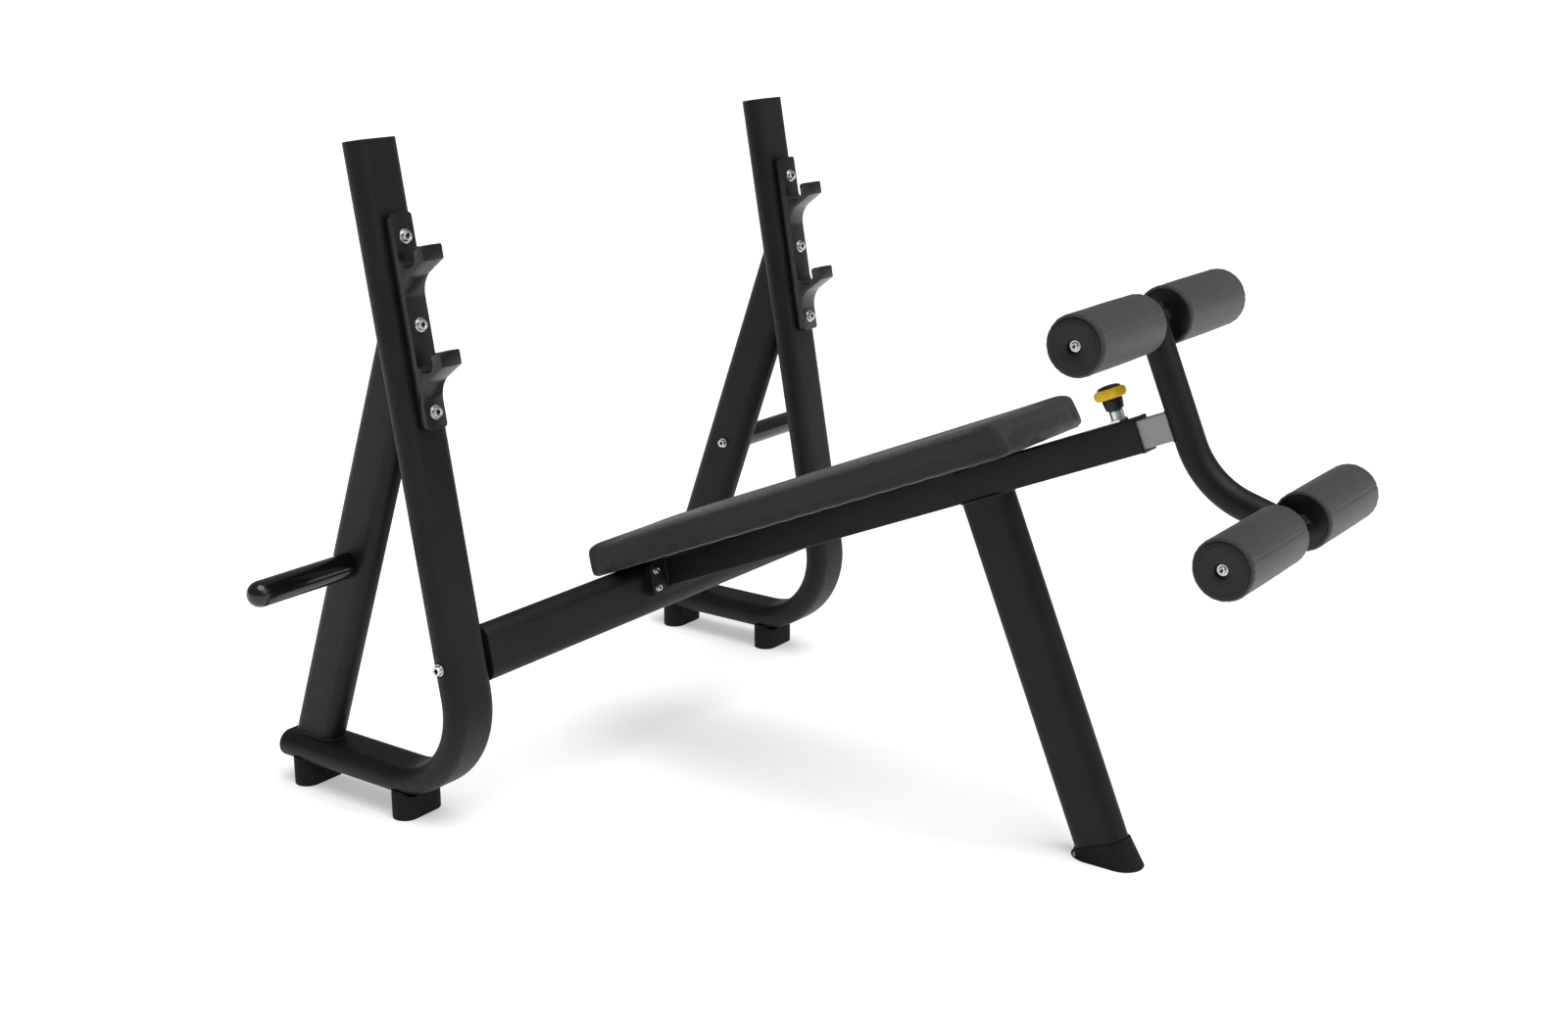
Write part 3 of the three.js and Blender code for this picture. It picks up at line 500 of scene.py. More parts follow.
strut_axis = Vector((0, -math.sin(STRUT_LEAN), math.cos(STRUT_LEAN)))
strut_across = Vector((0, math.cos(STRUT_LEAN), math.sin(STRUT_LEAN)))
rear_face = (lean_turn @ Vector((0, TUBE_THICK + GAP, 0)), lean_turn @ Vector((0, 1, 0)))


def strut_rings():
    foot = Vector((0, STRUT_FOOT, BASE_CENTRE))
    sides = [foot + Vector((1, 0, 0)) * v + strut_across * u for u, v in oval()]
    low = [meet(p, strut_axis, (0, 0, BASE_TOP + GAP), (0, 0, 1)) for p in sides]
    high = [meet(p, strut_axis, *rear_face) for p in sides]
    return low, high


def tube_under(x):
    """Underside of the base tube at a distance from its middle."""
    out = max(0.0, min(abs(x) - HALF_THICK, HALF_THICK))
    return BASE_CENTRE - math.sqrt(max(HALF_THICK ** 2 - out ** 2, 0)) - GAP


def foot_block(place):
    """A rubber foot whose top hollows out to seat the base tube."""
    shoulder = BASE_BOTTOM + 12
    grown = lambda grow: oval(grow, 16)
    top = lambda x: min(shoulder, tube_under(x))
    rings = [[(x, y, rise) for x, y in grown(-inset)] for inset, rise in edge_steps(1.8)]
    rings += [[(x, y, top(x) - drop) for x, y in grown(-inset)]
              for inset, drop in reversed(edge_steps(1.4))]
    rings.append([(x, y, top(x)) for x, y in grown(-6)])
    rings.append([(x, y, min(top(x), BASE_BOTTOM - GAP)) for x, y in grown(-20)])
    return Shell(place).skin(rings)


def tube_cap(place):
    return rounded_prism(Shell(place), lambda inset: oval(-inset), GAP, GAP + CAP_TALL, 0.3, 1.6)


WASHER_TALL = 1.5


def socket_bolt(place, head, tall, washer, round_head=False):
    """Washer on the plane z = 0 and a head with a hexagon socket."""
    shell = Shell(place)
    lower_edge = arc(washer - 0.4, 0.4, 0.4, -90, 0, 2)
    upper_edge = arc(washer - 0.6, 0.9, 0.6, 0, 90, 3)
    lathe(shell, [(head * 0.6, 0)] + lower_edge + upper_edge + [(head * 0.6, WASHER_TALL)])
    top = WASHER_TALL + tall
    socket = head * 0.5
    rings = [circle(head - 0.4, z=WASHER_TALL), circle(head, z=1.9)]
    if round_head:
        rings += [circle(head * math.cos(math.radians(d)), z=1.9 + (tall - 0.4) * math.sin(math.radians(d)))
                  for d in (12, 24, 36, 46, 54)]
        top = 1.9 + (tall - 0.4) * math.sin(math.radians(54))
    else:
        rings += [circle(head, z=top - 1.1), circle(head - 0.35, z=top - 0.35), circle(head - 1.1, z=top)]
    rings += [circle(socket + 1.0, z=top), circle(socket + 0.7, z=top - 0.5)]
    rings += [hexagon(socket * 0.9, z=top - 0.9), hexagon(socket * 0.9, z=top - tall * 0.66),
              circle(0.4, z=top - tall * 0.8)]
    shell.skin(rings)
    # the socket's walls and floor are the last two bands and the last lid; they take the darker steel as
    # painted shade
    first = len(shell.faces) - 2 - 2 * ROUND
    shell.dark = set(range(first, first + 2 * ROUND)) | {len(shell.faces) - 1}
    return shell


def plate_horn(place):
    radius, length = 25, 236
    dome = length - radius
    profile = [(radius - 1, 0), (radius - 0.2, 0.5), (radius, 1.4), (radius, dome - 1.6),
               (radius - 0.5, dome - 1.2), (radius - 0.5, dome - 0.4)]
    return lathe(Shell(place), profile + arc(0, dome, radius - 0.15, 0, 88, 12), 64)


RACK_BOTTOM, RACK_TOP = 793, 1184
STRIP, HOOK = 22, 85
LIP_DEPTH, LIP_TALL = 23, 27
LIP_TOPS = (932, 1122)
RACK_BOLTS = (822.9, 982.6, 1142.2)


def curve_to(points, control, end, steps=9):
    start = points[-1]
    for i in range(1, steps + 1):
        t = i / steps
        points.append(tuple((1 - t) ** 2 * a + 2 * t * (1 - t) * c + t * t * b
                            for a, c, b in zip(start, control, end)))


def rack_profile():
    """Side view of the rack: depth in front of the upright against height along it."""
    points = [(0, RACK_BOTTOM), (STRIP, RACK_BOTTOM)]
    for top in LIP_TOPS:
        back = HOOK - LIP_DEPTH
        floor = top - LIP_TALL
        saddle = (back - STRIP) / 2 - 2
        drop = top - 74
        points.append((STRIP, drop - 18))
        curve_to(points, (STRIP, drop + 8), (STRIP + 20, drop + 24))
        points += [(HOOK, floor), (HOOK, top - 5)]
        curve_to(points, (HOOK, top), (HOOK - 5, top), 4)
        points += [(back + 4, top), (back, top - 4), (back, floor + saddle - 8)]
        curve_to(points, (back, floor - 8), (back - saddle, floor - 8))
        curve_to(points, (STRIP, floor - 8), (STRIP, floor + saddle - 8))
    return points + [(STRIP, RACK_TOP), (0, RACK_TOP)]


def applied(obj):
    """Keeps what an object's modifiers make as its mesh."""
    bpy.context.view_layer.update()
    evaluated = obj.evaluated_get(bpy.context.evaluated_depsgraph_get())
    result = bpy.data.meshes.new_from_object(evaluated)
    obj.modifiers.clear()
    obj.data = result


def bevelled(obj, width, segments, angle):
    """Rounds an object's sharp edges."""
    modifier = obj.modifiers.new("edges", "BEVEL")
    modifier.width = width
    modifier.segments = segments
    modifier.limit_method = "ANGLE"
    modifier.angle_limit = math.radians(angle)
    modifier.harden_normals = False
    applied(obj)


def round_corners(rack, place):
    """Rounds the rack's corners as seen from the front, at the strip's ends and the lips' tops."""
    local = place.inverted()
    form = bmesh.new()
    form.from_mesh(rack.data)
    corners = []
    for edge in form.edges:
        a, b = (local @ v.co for v in edge.verts)
        along_depth = abs(a.z - b.z) < 0.1 and abs(a.x - b.x) < 0.1
        height = (a.z + b.z) / 2
        front = min(-a.y, -b.y)
        strip_end = height < RACK_BOTTOM + 1 or height > RACK_TOP - 1
        lip_top = any(abs(height - top) < 1 for top in LIP_TOPS) and front > STRIP + 1
        if along_depth and (strip_end or lip_top):
            corners.append(edge)
    bmesh.ops.bevel(form, geom=corners, offset=6.5 * MM, segments=5, affect="EDGES", profile=0.5)
    form.to_mesh(rack.data)
    form.free()


def bar_rack(side, sign):
    place = lean @ at(sign * HALF_SPACING, -GAP, 0)
    profile = rack_profile()
    flanks = [[(x, -depth, height) for depth, height in profile] for x in (-25, 25)]
    rack = node_piece(Shell(place).skin(flanks), f"bar_rack_{side}", rack_coat)
    round_corners(rack, place)
    bevelled(rack, 2.6 * MM, 3, 40)
    rack.data.shade_smooth()
    rack.data.set_sharp_from_angle(angle=math.radians(32))


for side, sign in SIDES:
    stand = layout @ at(sign * HALF_SPACING, 0, 0)
    node_piece(upright_tube(stand), f"upright_{side}", frame_coat)
    low, high = strut_rings()
    node_piece(Shell(stand).skin([low, high]), f"strut_{side}", frame_coat)
    welds = Shell(stand)
    bead(welds, low, WELD)
    bead(welds, high, WELD)
    welds.piece(f"strut_welds_{side}", weld_coat, "frame", "frame_powder_coat")
    for name, y in (("front", 226), ("rear", 506)):
        node_piece(foot_block(stand @ at(0, y, 0)), f"foot_{name}_{side}", rubber)
    node_piece(tube_cap(stand @ at(0, REAR_END - CAP_SEAT, BASE_CENTRE) @ turn(-90, "X")),
               f"base_cap_{side}", cap_plastic)
    face = lean @ at(sign * HALF_SPACING, 0, 0)
    node_piece(tube_cap(face @ at(0, HALF_THICK, UPRIGHT_TOP)), f"upright_cap_{side}", cap_plastic)
    outward = turn(90 if sign > 0 else -90, "Y")
    inward = turn(-90 if sign > 0 else 90, "Y")
    horn_seat = sign * (HALF_THICK + GAP)
    horn_place = stand @ at(horn_seat, HORN_BEHIND, HORN_HEIGHT) @ outward
    node_piece(plate_horn(horn_place), f"plate_horn_{side}", horn_coat)
    horn_bolt_place = stand @ at(-horn_seat, HORN_BEHIND, HORN_HEIGHT) @ inward
    node_piece(socket_bolt(horn_bolt_place, 9, 7, 11), f"horn_bolt_{side}", zinc_steel)
    bar_rack(side, sign)
    for number, height in enumerate(RACK_BOLTS):
        bolt_place = face @ at(0, -STRIP - 2 * GAP, height) @ turn(90, "X")
        node_piece(socket_bolt(bolt_place, 10, 7, 13.4), f"rack_bolt_{side}_{number + 1}", zinc_steel)
    cross_place = face @ at(sign * (HALF_WIDE + GAP), HALF_THICK, CROSS_HEIGHT) @ outward
    node_piece(socket_bolt(cross_place, 9.5, 8, 11.5), f"crossmember_bolt_{side}", zinc_steel)

# ---------------------------------------------------------------- crossmember and beam

CROSS_HALF = HALF_SPACING - HALF_WIDE - GAP
PLATE_CENTRE = 372.5
PLATE = plate_shape(150, 75, 15, 8)
along_x = turn(90, "Y")

cross = Shell(lean)
cross_axis = at(0, HALF_THICK, CROSS_HEIGHT) @ along_x
rounded_prism(cross, lambda inset: oval(-inset), -CROSS_HALF, CROSS_HALF, 0.8, 0.8,
              lambda x, y, z: cross_axis @ Vector((x, y, z)))
to_plate = lambda x, y, z: (x, -z, PLATE_CENTRE + y)
rounded_prism(cross, PLATE, -1.5, 8, 0, 0.9, to_plate)
node_piece(cross, "crossmember", frame_coat)

BEAM_LENGTH, BEAM_WIDE, BEAM_TALL = 1141, 51, 62.2
beam_middle = BEAM_TALL / 2
BRACKETS, BRACKET_TALL = (130, 790), 5
lean_to_beam = beam_in_layout.inverted() @ lean_turn
back_plane = lean_to_beam @ Vector((0, -JOINT_DEPTH + 4, 0))
front_plane = lean_to_beam @ Vector((0, -JOINT_DEPTH, 0))
plane_normal = lean_to_beam.to_3x3() @ Vector((0, 1, 0))


def raised(points):
    """A section about the beam's middle, raised to stand on its underside."""
    return [(x, z + beam_middle) for x, z in points]


def box_section(grow):
    return raised(outline(BEAM_WIDE + 2 * grow, BEAM_TALL + 2 * grow, 3.5 + grow, 5))


def beam_ring(points, y):
    return [(x, y, z) for x, z in points]


tube = Shell(beam)
outer, inner = box_section(0), box_section(-2.5)
start = [meet((x, 0, z), (0, 1, 0), back_plane, plane_normal) for x, z in outer]
hollow = [meet((x, 0, z), (0, 1, 0), back_plane, plane_normal) for x, z in inner]
tube.skin([start, beam_ring(outer, -BEAM_LENGTH + 0.6), beam_ring(box_section(-0.6), -BEAM_LENGTH),
           beam_ring(box_section(-2.0), -BEAM_LENGTH), beam_ring(inner, -BEAM_LENGTH + 0.5), hollow], loop=True)
for place in BRACKETS:
    rounded_prism(tube, plate_shape(230, 60, 4, 4), BEAM_TALL - 1.2, BEAM_TALL + BRACKET_TALL, 0, 0.7,
                  lambda x, y, z, place=place: (x, y - place, z))
plate = Shell(lean)
rounded_prism(plate, PLATE, 8 + 2 * GAP, JOINT_DEPTH, 0.6, 0.9, to_plate)
tube.faces += [tuple(i + len(tube.points) for i in face) for face in plate.faces]
tube.points += plate.points
node_piece(tube, "main_beam", frame_coat)

welds = Shell(beam)
bead(welds, [meet((x, 0, z), (0, 1, 0), front_plane, plane_normal) for x, z in box_section(0.4)], 3.0)
for place in BRACKETS:
    for sign in (-1, 1):
        bead(welds, [(sign * (BEAM_WIDE / 2 + 0.6), -place + 24 * t, BEAM_TALL - 1.6)
                     for t in (-1, -0.3, 0.3, 1)], 2.4, closed=False)
welds.piece("beam_welds", weld_coat, "frame", "frame_powder_coat")

for row, up in (("lower", -1), ("upper", 1)):
    for side, sign in SIDES:
        place = lean @ at(sign * 60, -JOINT_DEPTH - GAP, PLATE_CENTRE + up * 18.3) @ turn(90, "X")
        node_piece(socket_bolt(place, 6.5, 5.5, 8), f"joint_bolt_{row}_{side}", zinc_steel)

# ---------------------------------------------------------------- front leg and boot

LEG_PLACE = 800
BOOT_TALL = 36
ACROSS = Vector((1, 0, 0))
leg_up = beam_in_layout.to_3x3() @ Vector((0, 0, 1))
leg_across = beam_in_layout.to_3x3() @ Vector((0, 1, 0))
leg_top = beam_in_layout @ Vector((0, -LEG_PLACE, -GAP))
leg_sides = [leg_top + ACROSS * v + leg_across * u for u, v in oval()]
leg_low = [meet(p, leg_up, (0, 0, 9 + GAP), (0, 0, 1)) for p in leg_sides]
node_piece(Shell(layout).skin([leg_low, leg_sides]), "front_leg", frame_coat)
welds = Shell(layout)
bead(welds, leg_sides, WELD)
welds.piece("leg_welds", weld_coat, "frame", "frame_powder_coat")


def leg_ring(grow, down, floor=None):
    """A ring round the leg, down from the boot's rim; floor cuts it level."""
    head = beam_in_layout @ Vector((0, -LEG_PLACE, 0))
    reach = head.z / math.cos(SLOPE)
    centre = head - leg_up * (reach - BOOT_TALL + down)
    points = [centre + ACROSS * v + leg_across * u for u, v in oval(grow)]
    if floor is None:
        return points
    return [meet(p, leg_up, (0, 0, floor), (0, 0, 1)) for p in points]


flare = lambda down: 3.8 + 8 * (down / BOOT_TALL) ** 2
level = lambda grow, floor: leg_ring(grow, BOOT_TALL, floor)
boot = [level(GAP, 9), leg_ring(GAP, 0.8), leg_ring(GAP + 0.6, 0.1), leg_ring(1.8, -0.1), leg_ring(3.2, 0.3)]
boot += [leg_ring(flare(down), down) for down in (1.5, 4, 7, 10, 13, 15)]
neck, sole_grow = boot[-1], flare(34)
sole = level(sole_grow, 1.6)
boot += [[a.lerp(b, share) for a, b in zip(neck, sole)] for share in (0.35, 0.7, 0.93)]
boot += [sole, level(sole_grow - 1.4, 0.2), level(sole_grow - 3, 0)]
node_piece(Shell(layout).skin(boot), "leg_boot", rubber)

# ---------------------------------------------------------------- bushing, post and axles

BORE_WIDE, BORE_TALL, LIP = 43.0, 52.2, 3.0
bore_ring = raised(outline(BORE_WIDE, BORE_TALL, 1.6, 5))
bore_mouth = raised(outline(BORE_WIDE + 1, BORE_TALL + 1, 2.1, 5))
lip = lambda inset: raised(outline(53.4 - 2 * inset, 64.6 - 2 * inset, 4.5 - inset, 5))
mouth = -BEAM_LENGTH - GAP
bushing = Shell(beam)
bushing.skin([beam_ring(bore_ring, mouth), beam_ring(lip(0.3), mouth), beam_ring(lip(0), mouth - 0.4),
              beam_ring(lip(0), mouth - LIP + 1.2), beam_ring(lip(0.5), mouth - LIP + 0.4),
              beam_ring(lip(1.3), mouth - LIP), beam_ring(bore_mouth, mouth - LIP),
              beam_ring(bore_ring, mouth - LIP + 0.6)], loop=True)
node_piece(bushing, "beam_bushing", black_plastic)

POST_PLACE, POST_RADIUS, POST_WALL = 1222, 26.5, 3
POST_BEND, POST_BEND_ANGLE, BEND_START = 165, math.radians(50), -8
POST_UPPER, POST_LOWER, POST_END = 221.3, 85.5, 24
bend_sine, bend_cosine = math.sin(POST_BEND_ANGLE), math.cos(POST_BEND_ANGLE)
bend_place = POST_PLACE + POST_BEND * (1 - bend_cosine)
bend_height = BEND_START - POST_BEND * bend_sine
axles = {
    "upper": (POST_PLACE, BEND_START + POST_UPPER),
    "lower": (bend_place + POST_LOWER * bend_sine, bend_height - POST_LOWER * bend_cosine),
}


def post_ring(radius, y, z, angle):
    """A circle across the post where its centre line has that direction in the side plane."""
    return [(u, y - v * math.sin(angle), z + v * math.cos(angle)) for u, v, _ in circle(radius)]


down = -math.pi / 2
end_angle = down - POST_BEND_ANGLE
end_y = -axles["lower"][0] - POST_END * bend_sine
end_z = axles["lower"][1] - POST_END * bend_cosine
direction = (math.cos(end_angle), math.sin(end_angle))
top_z = axles["upper"][1] + POST_END
spine = [(-POST_PLACE, top_z, down)]
bend_steps = 24
for i in range(bend_steps + 1):
    a = down - POST_BEND_ANGLE * i / bend_steps
    spine.append((-POST_PLACE - POST_BEND - POST_BEND * math.sin(a), BEND_START + POST_BEND * math.cos(a), a))
spine.append((end_y, end_z, end_angle))
outer_rings = [post_ring(POST_RADIUS, *place) for place in spine]
inner_rings = [post_ring(POST_RADIUS - POST_WALL, *place) for place in spine]
post = Shell(beam)
ease = 0.7
rim_top = [post_ring(POST_RADIUS - ease, -POST_PLACE, top_z, down),
           post_ring(POST_RADIUS, -POST_PLACE, top_z - ease, down)]
rim_end = [post_ring(POST_RADIUS, end_y - direction[0] * ease, end_z - direction[1] * ease, end_angle),
           post_ring(POST_RADIUS - ease, end_y, end_z, end_angle)]
post.skin(rim_top + outer_rings[1:-1] + rim_end + inner_rings[::-1], loop=True)
node_piece(post, "roller_post", frame_coat)

welds = Shell(beam)
bead(welds, [(x, -POST_PLACE + math.sqrt(POST_RADIUS ** 2 - x * x) + 0.8, z)
             for x, z in raised(outline(42, 51.5, 2.5, 5))], 2.2)
welds.piece("post_welds", weld_coat, "carriage", "frame_powder_coat")

AXLE_END, AXLE_RADIUS, COLLAR_RADIUS, COLLAR_OUT = 279, 10, 15, 45.4
for level, (along, above) in axles.items():
    place = beam @ at(0, -along, above) @ along_x
    shell = Shell(place)
    profile = [(AXLE_RADIUS - 0.8, -AXLE_END), (AXLE_RADIUS, -AXLE_END + 0.8), (AXLE_RADIUS, -COLLAR_OUT)]
    for sign in (-1, 1):
        low, high = sorted((sign * COLLAR_OUT, sign * (POST_RADIUS + GAP)))
        profile += [(COLLAR_RADIUS - 0.6, low), (COLLAR_RADIUS, low + 0.6), (COLLAR_RADIUS, high - 0.6),
                    (COLLAR_RADIUS - 0.6, high), (AXLE_RADIUS, high)]
        if sign < 0:
            profile.append((AXLE_RADIUS, POST_RADIUS + GAP))
    profile += [(AXLE_RADIUS, AXLE_END - 0.8), (AXLE_RADIUS - 0.8, AXLE_END)]
    lathe(shell, profile)
    node_piece(shell, f"axle_{level}", bright_steel)
    for side, sign in SIDES:
        seat = beam @ at(sign * (AXLE_END + GAP), -along, above) @ turn(90 * sign, "Y")
        node_piece(socket_bolt(seat, 6.2, 4, 7.4, True), f"axle_bolt_{level}_{side}", zinc_steel)

# ---------------------------------------------------------------- rollers

INNER, OUTER = 46, 284
ROLLER, ROLLER_DISC = 52.5, 46.5


def foam_ring(radius, x, wobble, seed):
    """A ring of the foam's cover with slow drift, gathered folds and the seam's groove."""
    points = []
    count = 144
    for i in range(count):
        a = TAU * i / count
        drift = noise.noise(Vector((math.cos(a) * 1.7, math.sin(a) * 1.7, x * 0.011 + seed)))
        fold = noise.noise(Vector((math.cos(a) * 6.5, math.sin(a) * 6.5, seed + 9.3)))
        r = radius + 0.35 * drift + wobble * (0.55 * math.sin(26 * a + 3 * drift) + fold)
        # the cover's seam runs along the underside
        gap_angle = (a + math.pi / 2 + math.pi) % TAU - math.pi
        r -= 0.9 * math.exp(-(gap_angle * radius / 1.1) ** 2)
        points.append((r * math.cos(a), r * math.sin(a), x))
    return points


def foam_roller(place, seed):
    seat = ROLLER_DISC + 0.3
    shoulder = [(ROLLER - 6.2 + 6.2 * math.sin(a), 8.5 * (1 - math.cos(a)))
                for a in (math.pi / 2 * k / 7 for k in range(1, 8))]
    rings = [foam_ring(18.0, INNER + 5, 0, seed), foam_ring(seat, INNER + 4.6, 0, seed),
             foam_ring(seat, INNER + 1.6, 0.1, seed)]
    rings += [foam_ring(r, INNER + 1 + z, 0.42 * min(1, 0.4 + z / 8), seed) for r, z in shoulder]
    steps = 42
    for i in range(1, steps):
        t = i / steps
        crown = 0.5 * math.sin(math.pi * t)
        fade = 0.42 * (math.exp(-t * 16) + math.exp(-(1 - t) * 16))
        rings.append(foam_ring(ROLLER - 0.3 + crown, INNER + 9.5 + (OUTER - INNER - 19) * t, fade, seed))
    rings += [foam_ring(r, OUTER - 1 - z, 0.42 * min(1, 0.4 + z / 8), seed) for r, z in reversed(shoulder)]
    rings += [foam_ring(seat, OUTER - 1.6, 0.1, seed), foam_ring(seat, OUTER - 4.6, 0, seed),
              foam_ring(18.0, OUTER - 5, 0, seed)]
    return Shell(place).skin(rings, loop=True)


def roller_core(place):
    """The tube and end discs that carry the foam; the outer disc has a groove and a recess."""
    disc, tube, bore, recess = ROLLER_DISC, 17, 10.8, 12.5
    profile = [(bore, INNER), (disc - 1.2, INNER), (disc - 0.3, INNER + 0.4), (disc, INNER + 1.2),
               (disc, INNER + 4), (tube, INNER + 4), (tube, OUTER - 4), (disc, OUTER - 4)]
    profile += [(disc, OUTER - 1.2), (disc - 0.3, OUTER - 0.4), (disc - 1.2, OUTER), (disc - 5.5, OUTER),
                (disc - 6.1, OUTER - 0.5), (disc - 7.1, OUTER - 0.5), (disc - 7.7, OUTER)]
    profile += [(15.5, OUTER), (14.2, OUTER - 0.4), (recess, OUTER - 1.6), (recess, OUTER - 5),
                (bore, OUTER - 5)]
    return lathe(Shell(place), profile, 96, loop=True)


foam_seed = 1.0
for level, (along, above) in axles.items():
    for side, sign in SIDES:
        place = beam @ at(0, -along, above) @ turn(90 * sign, "Y")
        node_piece(roller_core(place), f"roller_core_{level}_{side}", black_plastic)
        foam = node_piece(foam_roller(place, foam_seed), f"foam_roller_{level}_{side}", roller_vinyl, 60)
        foam_seed += 3.7

# ---------------------------------------------------------------- pull pin

PIN_PLACE, PIN_BORE, THREAD_PITCH = 1104, 5.6, 1.7
pin = beam @ at(0, -PIN_PLACE, 0)
shell = Shell(pin)
lathe(shell, [(PIN_BORE, 56), (10.4, 56), (11, 56.6), (11, 62.5), (12.0, 62.5), (12.6, 63.1), (12.6, 82.6),
              (11.6, 84), (PIN_BORE, 84)], loop=True)
for thread in range(4):
    z = 65 + THREAD_PITCH * thread
    lathe(shell, [(12.0, z), (13.0, z + 0.45), (13.0, z + 0.75), (12.0, z + 1.2)], loop=True)
nut = [hexagon(15.2, 62.9), hexagon(15.9, 63.4), hexagon(15.9, 67.2), hexagon(15.2, 67.8)]
shell.skin(nut + [circle(12.2, z=67.8), circle(12.2, z=62.9)], loop=True)
node_piece(shell, "pin_barrel", zinc_steel, 30)

DOME_RIM = 124.8
hub = [(PIN_BORE, 84.6), (14.0, 84.6), (15.4, 85.4)]
hub += [(15.6 + 2.9 * (t ** 0.6), 86 + 18 * t) for t in (0.1, 0.25, 0.4, 0.6, 0.8)]
hub += [(18.5, 104), (17.9, 105), (14, 105), (14, 123.3), (20.6, 123.3), (21.3, 123.9), (21.2, DOME_RIM)]
hub += [(21.0 * math.cos(a), DOME_RIM + 5.2 * math.sin(a)) for a in (math.pi / 2 * k / 8 for k in range(1, 8))]
hub += [(0.8, 130)]
node_piece(lathe(Shell(pin), hub, 64), "knob", black_plastic)


def lobed(radius, z):
    """A circle drawn in between eight lobes, the more so the further out it lies."""
    points = []
    count = 128
    share = max(0, min(1, (radius - 20) / 9))
    for i in range(count):
        a = TAU * i / count
        r = radius - share * 1.9 * (1 - math.cos(8 * a)) / 2
        points.append((r * math.cos(a), r * math.sin(a), z))
    return points


ring_section = [(17.8, 107.5), (17.8, 121.2), (18.6, 122.6)]
for k in range(19):
    a = math.pi / 2 - math.pi * k / 18
    rise = math.copysign(abs(math.sin(a)) ** 0.85, math.sin(a))
    ring_section.append((20.6 + 9.4 * max(0, math.cos(a)) ** 0.8, 114.2 + 9.2 * rise))
ring_section.append((18.6, 105.8))
node_piece(Shell(pin).skin([lobed(r, z) for r, z in ring_section], loop=True), "knob_ring", yellow_plastic)

# ---------------------------------------------------------------- bench pad

PAD_BOTTOM = BEAM_TALL + BRACKET_TALL + GAP
PAD_WIDE, PAD_LONG, PAD_TALL = 316, 1037, 63
PAD_CORNER, PAD_OVERLAP = 16, 82
PAD_VOXEL, PAD_SWELL = 0.006, 0.005
pad_centre = PAD_OVERLAP - PAD_LONG / 2
pad_place = beam @ at(0, pad_centre, PAD_BOTTOM)


def pad_shape():
    """Vinyl over a foam slab, slightly smaller than the space it fills before it swells."""
    shape = plate_shape(PAD_WIDE - 2.4, PAD_LONG - 2.4, PAD_CORNER, 12)
    rings = [[(x, y, 0.3 + rise) for x, y in shape(inset)] for inset, rise in edge_steps(4, 3)]
    rings += [[(x, y, PAD_TALL - 1.2 - rise) for x, y in shape(inset)]
              for inset, rise in reversed(edge_steps(11, 6))]
    return Shell(Matrix.Scale(MM, 4)).skin(rings)


def swollen(obj):
    """Lets a closed form swell as cloth under a little pressure, held along its bottom."""
    rest = [v.co.copy() for v in obj.data.vertices]
    held = obj.vertex_groups.new(name="held")
    for i, co in enumerate(rest):
        if co.z < 0.006:
            held.add([i], 1.0, "REPLACE")
    cloth = obj.modifiers.new("cloth", "CLOTH")
    cloth.settings.quality = 5
    cloth.settings.mass = 0.4
    cloth.settings.tension_stiffness = 40
    cloth.settings.compression_stiffness = 40
    cloth.settings.bending_stiffness = 4
    cloth.settings.use_pressure = True
    cloth.settings.uniform_pressure_force = 4.0
    cloth.settings.effector_weights.gravity = 0
    cloth.settings.vertex_group_mass = "held"
    scene = bpy.context.scene
    for number in range(1, 21):
        scene.frame_set(number)
    applied(obj)
    scene.frame_set(1)
    for v, start in zip(obj.data.vertices, rest):
        move = v.co - start
        if move.length > PAD_SWELL:
            v.co = start + move * (PAD_SWELL / move.length)


def pad_dent(co):
    """How far the cover is drawn in, by the staples along its bottom edge and at gathered corners."""
    low = math.exp(-((co.z - 0.006) / 0.012) ** 2)
    run = co.x if abs(co.y) > 0.47 else co.y
    pull = 0.5 + 0.5 * math.sin(run * TAU / 0.062 + 1.3 * noise.noise(co * 9))
    amount = 0.0011 * low * pull
    past_side = abs(co.x) - (PAD_WIDE / 2 - PAD_CORNER) * MM
    past_end = abs(co.y) - (PAD_LONG / 2 - PAD_CORNER) * MM
    if past_side > 0 and past_end > 0:
        around = math.atan2(past_end, past_side)
        fade = math.exp(-max(co.z - 0.004, 0) / 0.02)
        amount += 0.0012 * fade * (0.5 + 0.5 * math.cos(around * 18))
        fold = (around - math.pi / 4) * 0.034 / 0.0016
        amount += 0.0016 * math.exp(-fold * fold) * min(1, max(0, (0.052 - co.z) / 0.03))
    return amount


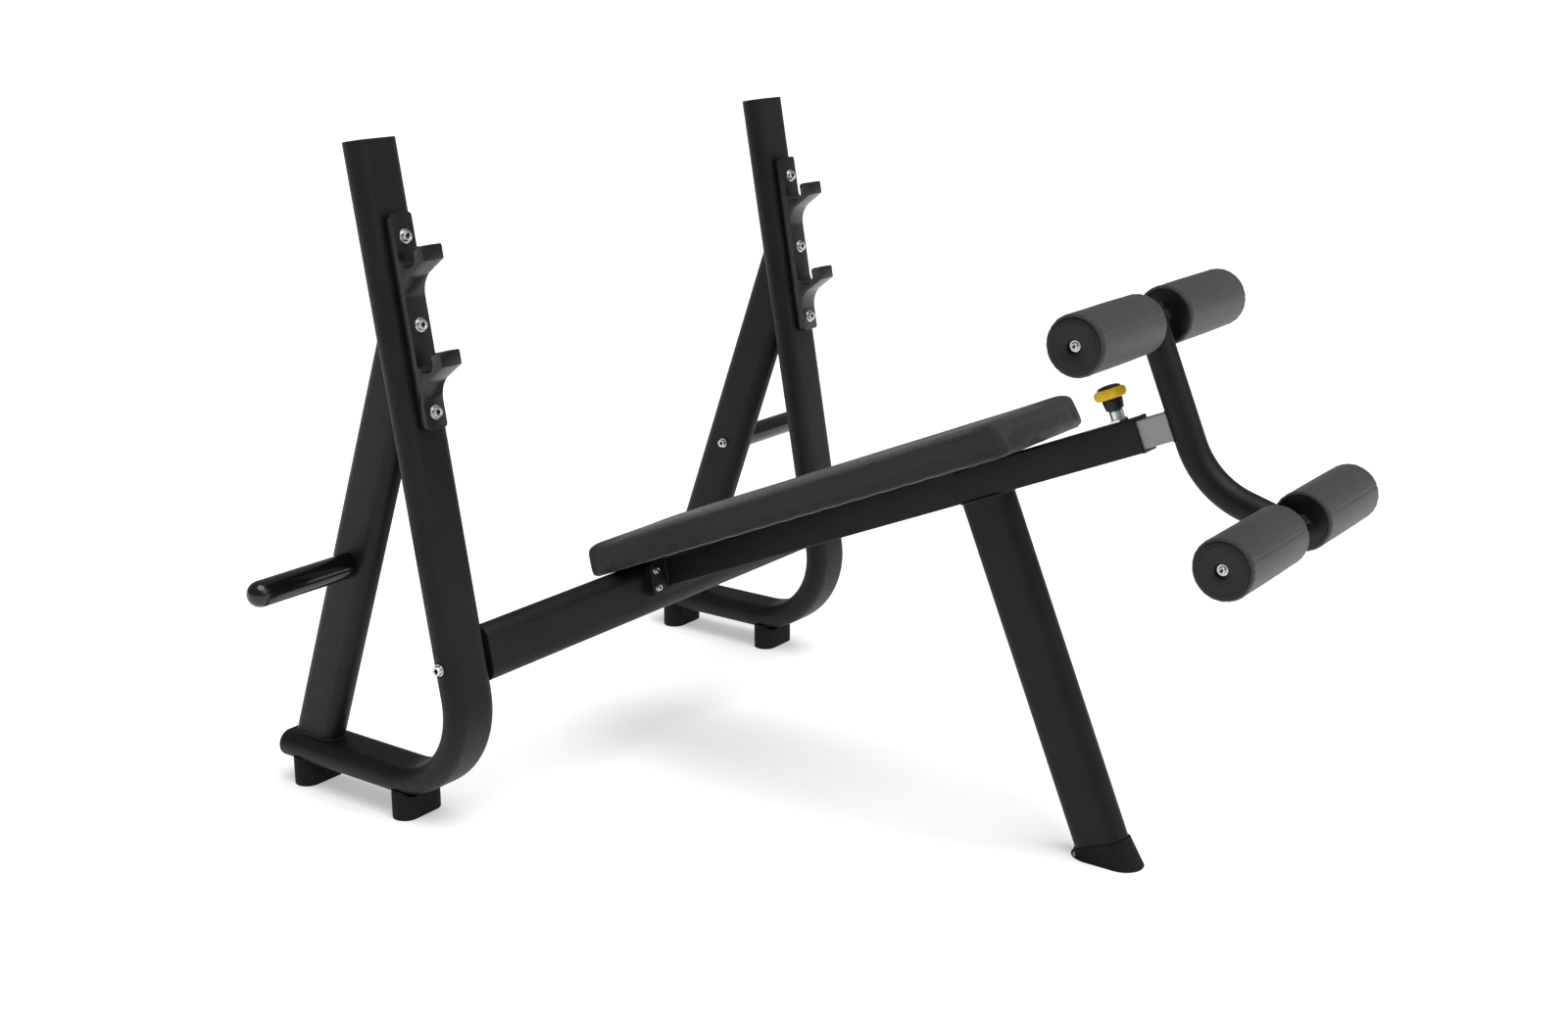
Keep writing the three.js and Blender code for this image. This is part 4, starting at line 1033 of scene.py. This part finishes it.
def bench_pad():
    obj = bpy.data.objects.new("bench_pad_cover", pad_shape().mesh("bench_pad_cover", split_above=4))
    bpy.context.scene.collection.objects.link(obj)
    skin = obj.modifiers.new("skin", "REMESH")
    skin.mode = "VOXEL"
    skin.voxel_size = PAD_VOXEL
    applied(obj)
    swollen(obj)
    smooth = obj.modifiers.new("relax", "SMOOTH")
    smooth.iterations = 2
    smooth.factor = 0.5
    finer = obj.modifiers.new("finer", "SUBSURF")
    finer.levels = finer.render_levels = 1
    applied(obj)
    form = bmesh.new()
    form.from_mesh(obj.data)
    form.normal_update()
    for v in form.verts:
        sag = 0.0005 * noise.noise(v.co * 7) * (1 if v.co.z > 0.05 else 0.4)
        v.co -= v.normal * (pad_dent(v.co) + sag)
        if v.co.z < 0:
            v.co.z = 0
    form.to_mesh(obj.data)
    form.free()
    obj.data.transform(Matrix.LocRotScale(pad_place.translation, beam_in_layout.to_quaternion(), None))
    obj.data.shade_smooth()
    obj.data.materials.clear()
    obj.data.materials.append(pad_vinyl)
    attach(obj, body_of_node["bench_pad"])
    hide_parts("bench_pad")


bench_pad()

# the CAD nodes that keep their shape
for node, material in (("pad_board", plywood), ("slide_tube", satin_steel), ("pin_plunger", zinc_steel),
                       ("pin_spring", zinc_steel)):
    for holder in frame["nodes"][node].material_slots:
        holder.material = material

# ---------------------------------------------------------------- studio

floor_mesh = bpy.data.meshes.new("studio_floor")
reach = 90
corners = [(-reach, -reach, 0), (reach, -reach, 0), (reach, reach, 0), (-reach, reach, 0)]
floor_mesh.from_pydata(corners, [], [(0, 1, 2, 3)])
floor = bpy.data.objects.new("studio_floor", floor_mesh)
bpy.context.scene.collection.objects.link(floor)
floor_look = Look("studio_floor", 0.9)
floor_look.color(floor_look.mixed(floor_look.noise(3), (0.86, 0.86, 0.86, 1), (0.87, 0.87, 0.87, 1)))
floor_look.shader.inputs["Emission Color"].default_value = (1, 1, 1, 1)
floor_look.shader.inputs["Emission Strength"].default_value = 0.38
floor_mesh.materials.append(floor_look.material)

world = bpy.data.worlds.new("studio")
bpy.context.scene.world = world
world.use_nodes = True
background = world.node_tree.nodes["Background"]
background.inputs["Color"].default_value = (1, 1, 1, 1)
path = world.node_tree.nodes.new("ShaderNodeLightPath")
strength = world.node_tree.nodes.new("ShaderNodeMapRange")
strength.inputs["To Min"].default_value = 0.26
strength.inputs["To Max"].default_value = 1.0
world.node_tree.links.new(path.outputs["Is Camera Ray"], strength.inputs["Value"])
world.node_tree.links.new(strength.outputs["Result"], background.inputs["Strength"])


def sun(name, azimuth, elevation, power, spread):
    light = bpy.data.lights.new(name, "SUN")
    light.energy = power
    light.angle = math.radians(spread)
    holder = bpy.data.objects.new(name, light)
    holder.rotation_euler = (math.radians(90 - elevation), 0, math.radians(azimuth))
    bpy.context.scene.collection.objects.link(holder)


sun("overhead", -10, 70, 2.5, 50)
sun("front", 8, 30, 0.55, 40)

camera_data = bpy.data.cameras.new("camera")
camera_data.lens = 44.92
camera_data.sensor_width = 36
camera_data.clip_end = 500
camera = bpy.data.objects.new("camera", camera_data)
camera.location = (-3.035, -2.020, 1.6236)
aim = Vector((0, 0.1506, 0.5556))
camera.rotation_euler = (aim - camera.location).to_track_quat("-Z", "Y").to_euler()
bpy.context.scene.collection.objects.link(camera)
bpy.context.scene.camera = camera
bpy.context.scene.view_settings.view_transform = "Standard"

bpy.context.view_layer.update()
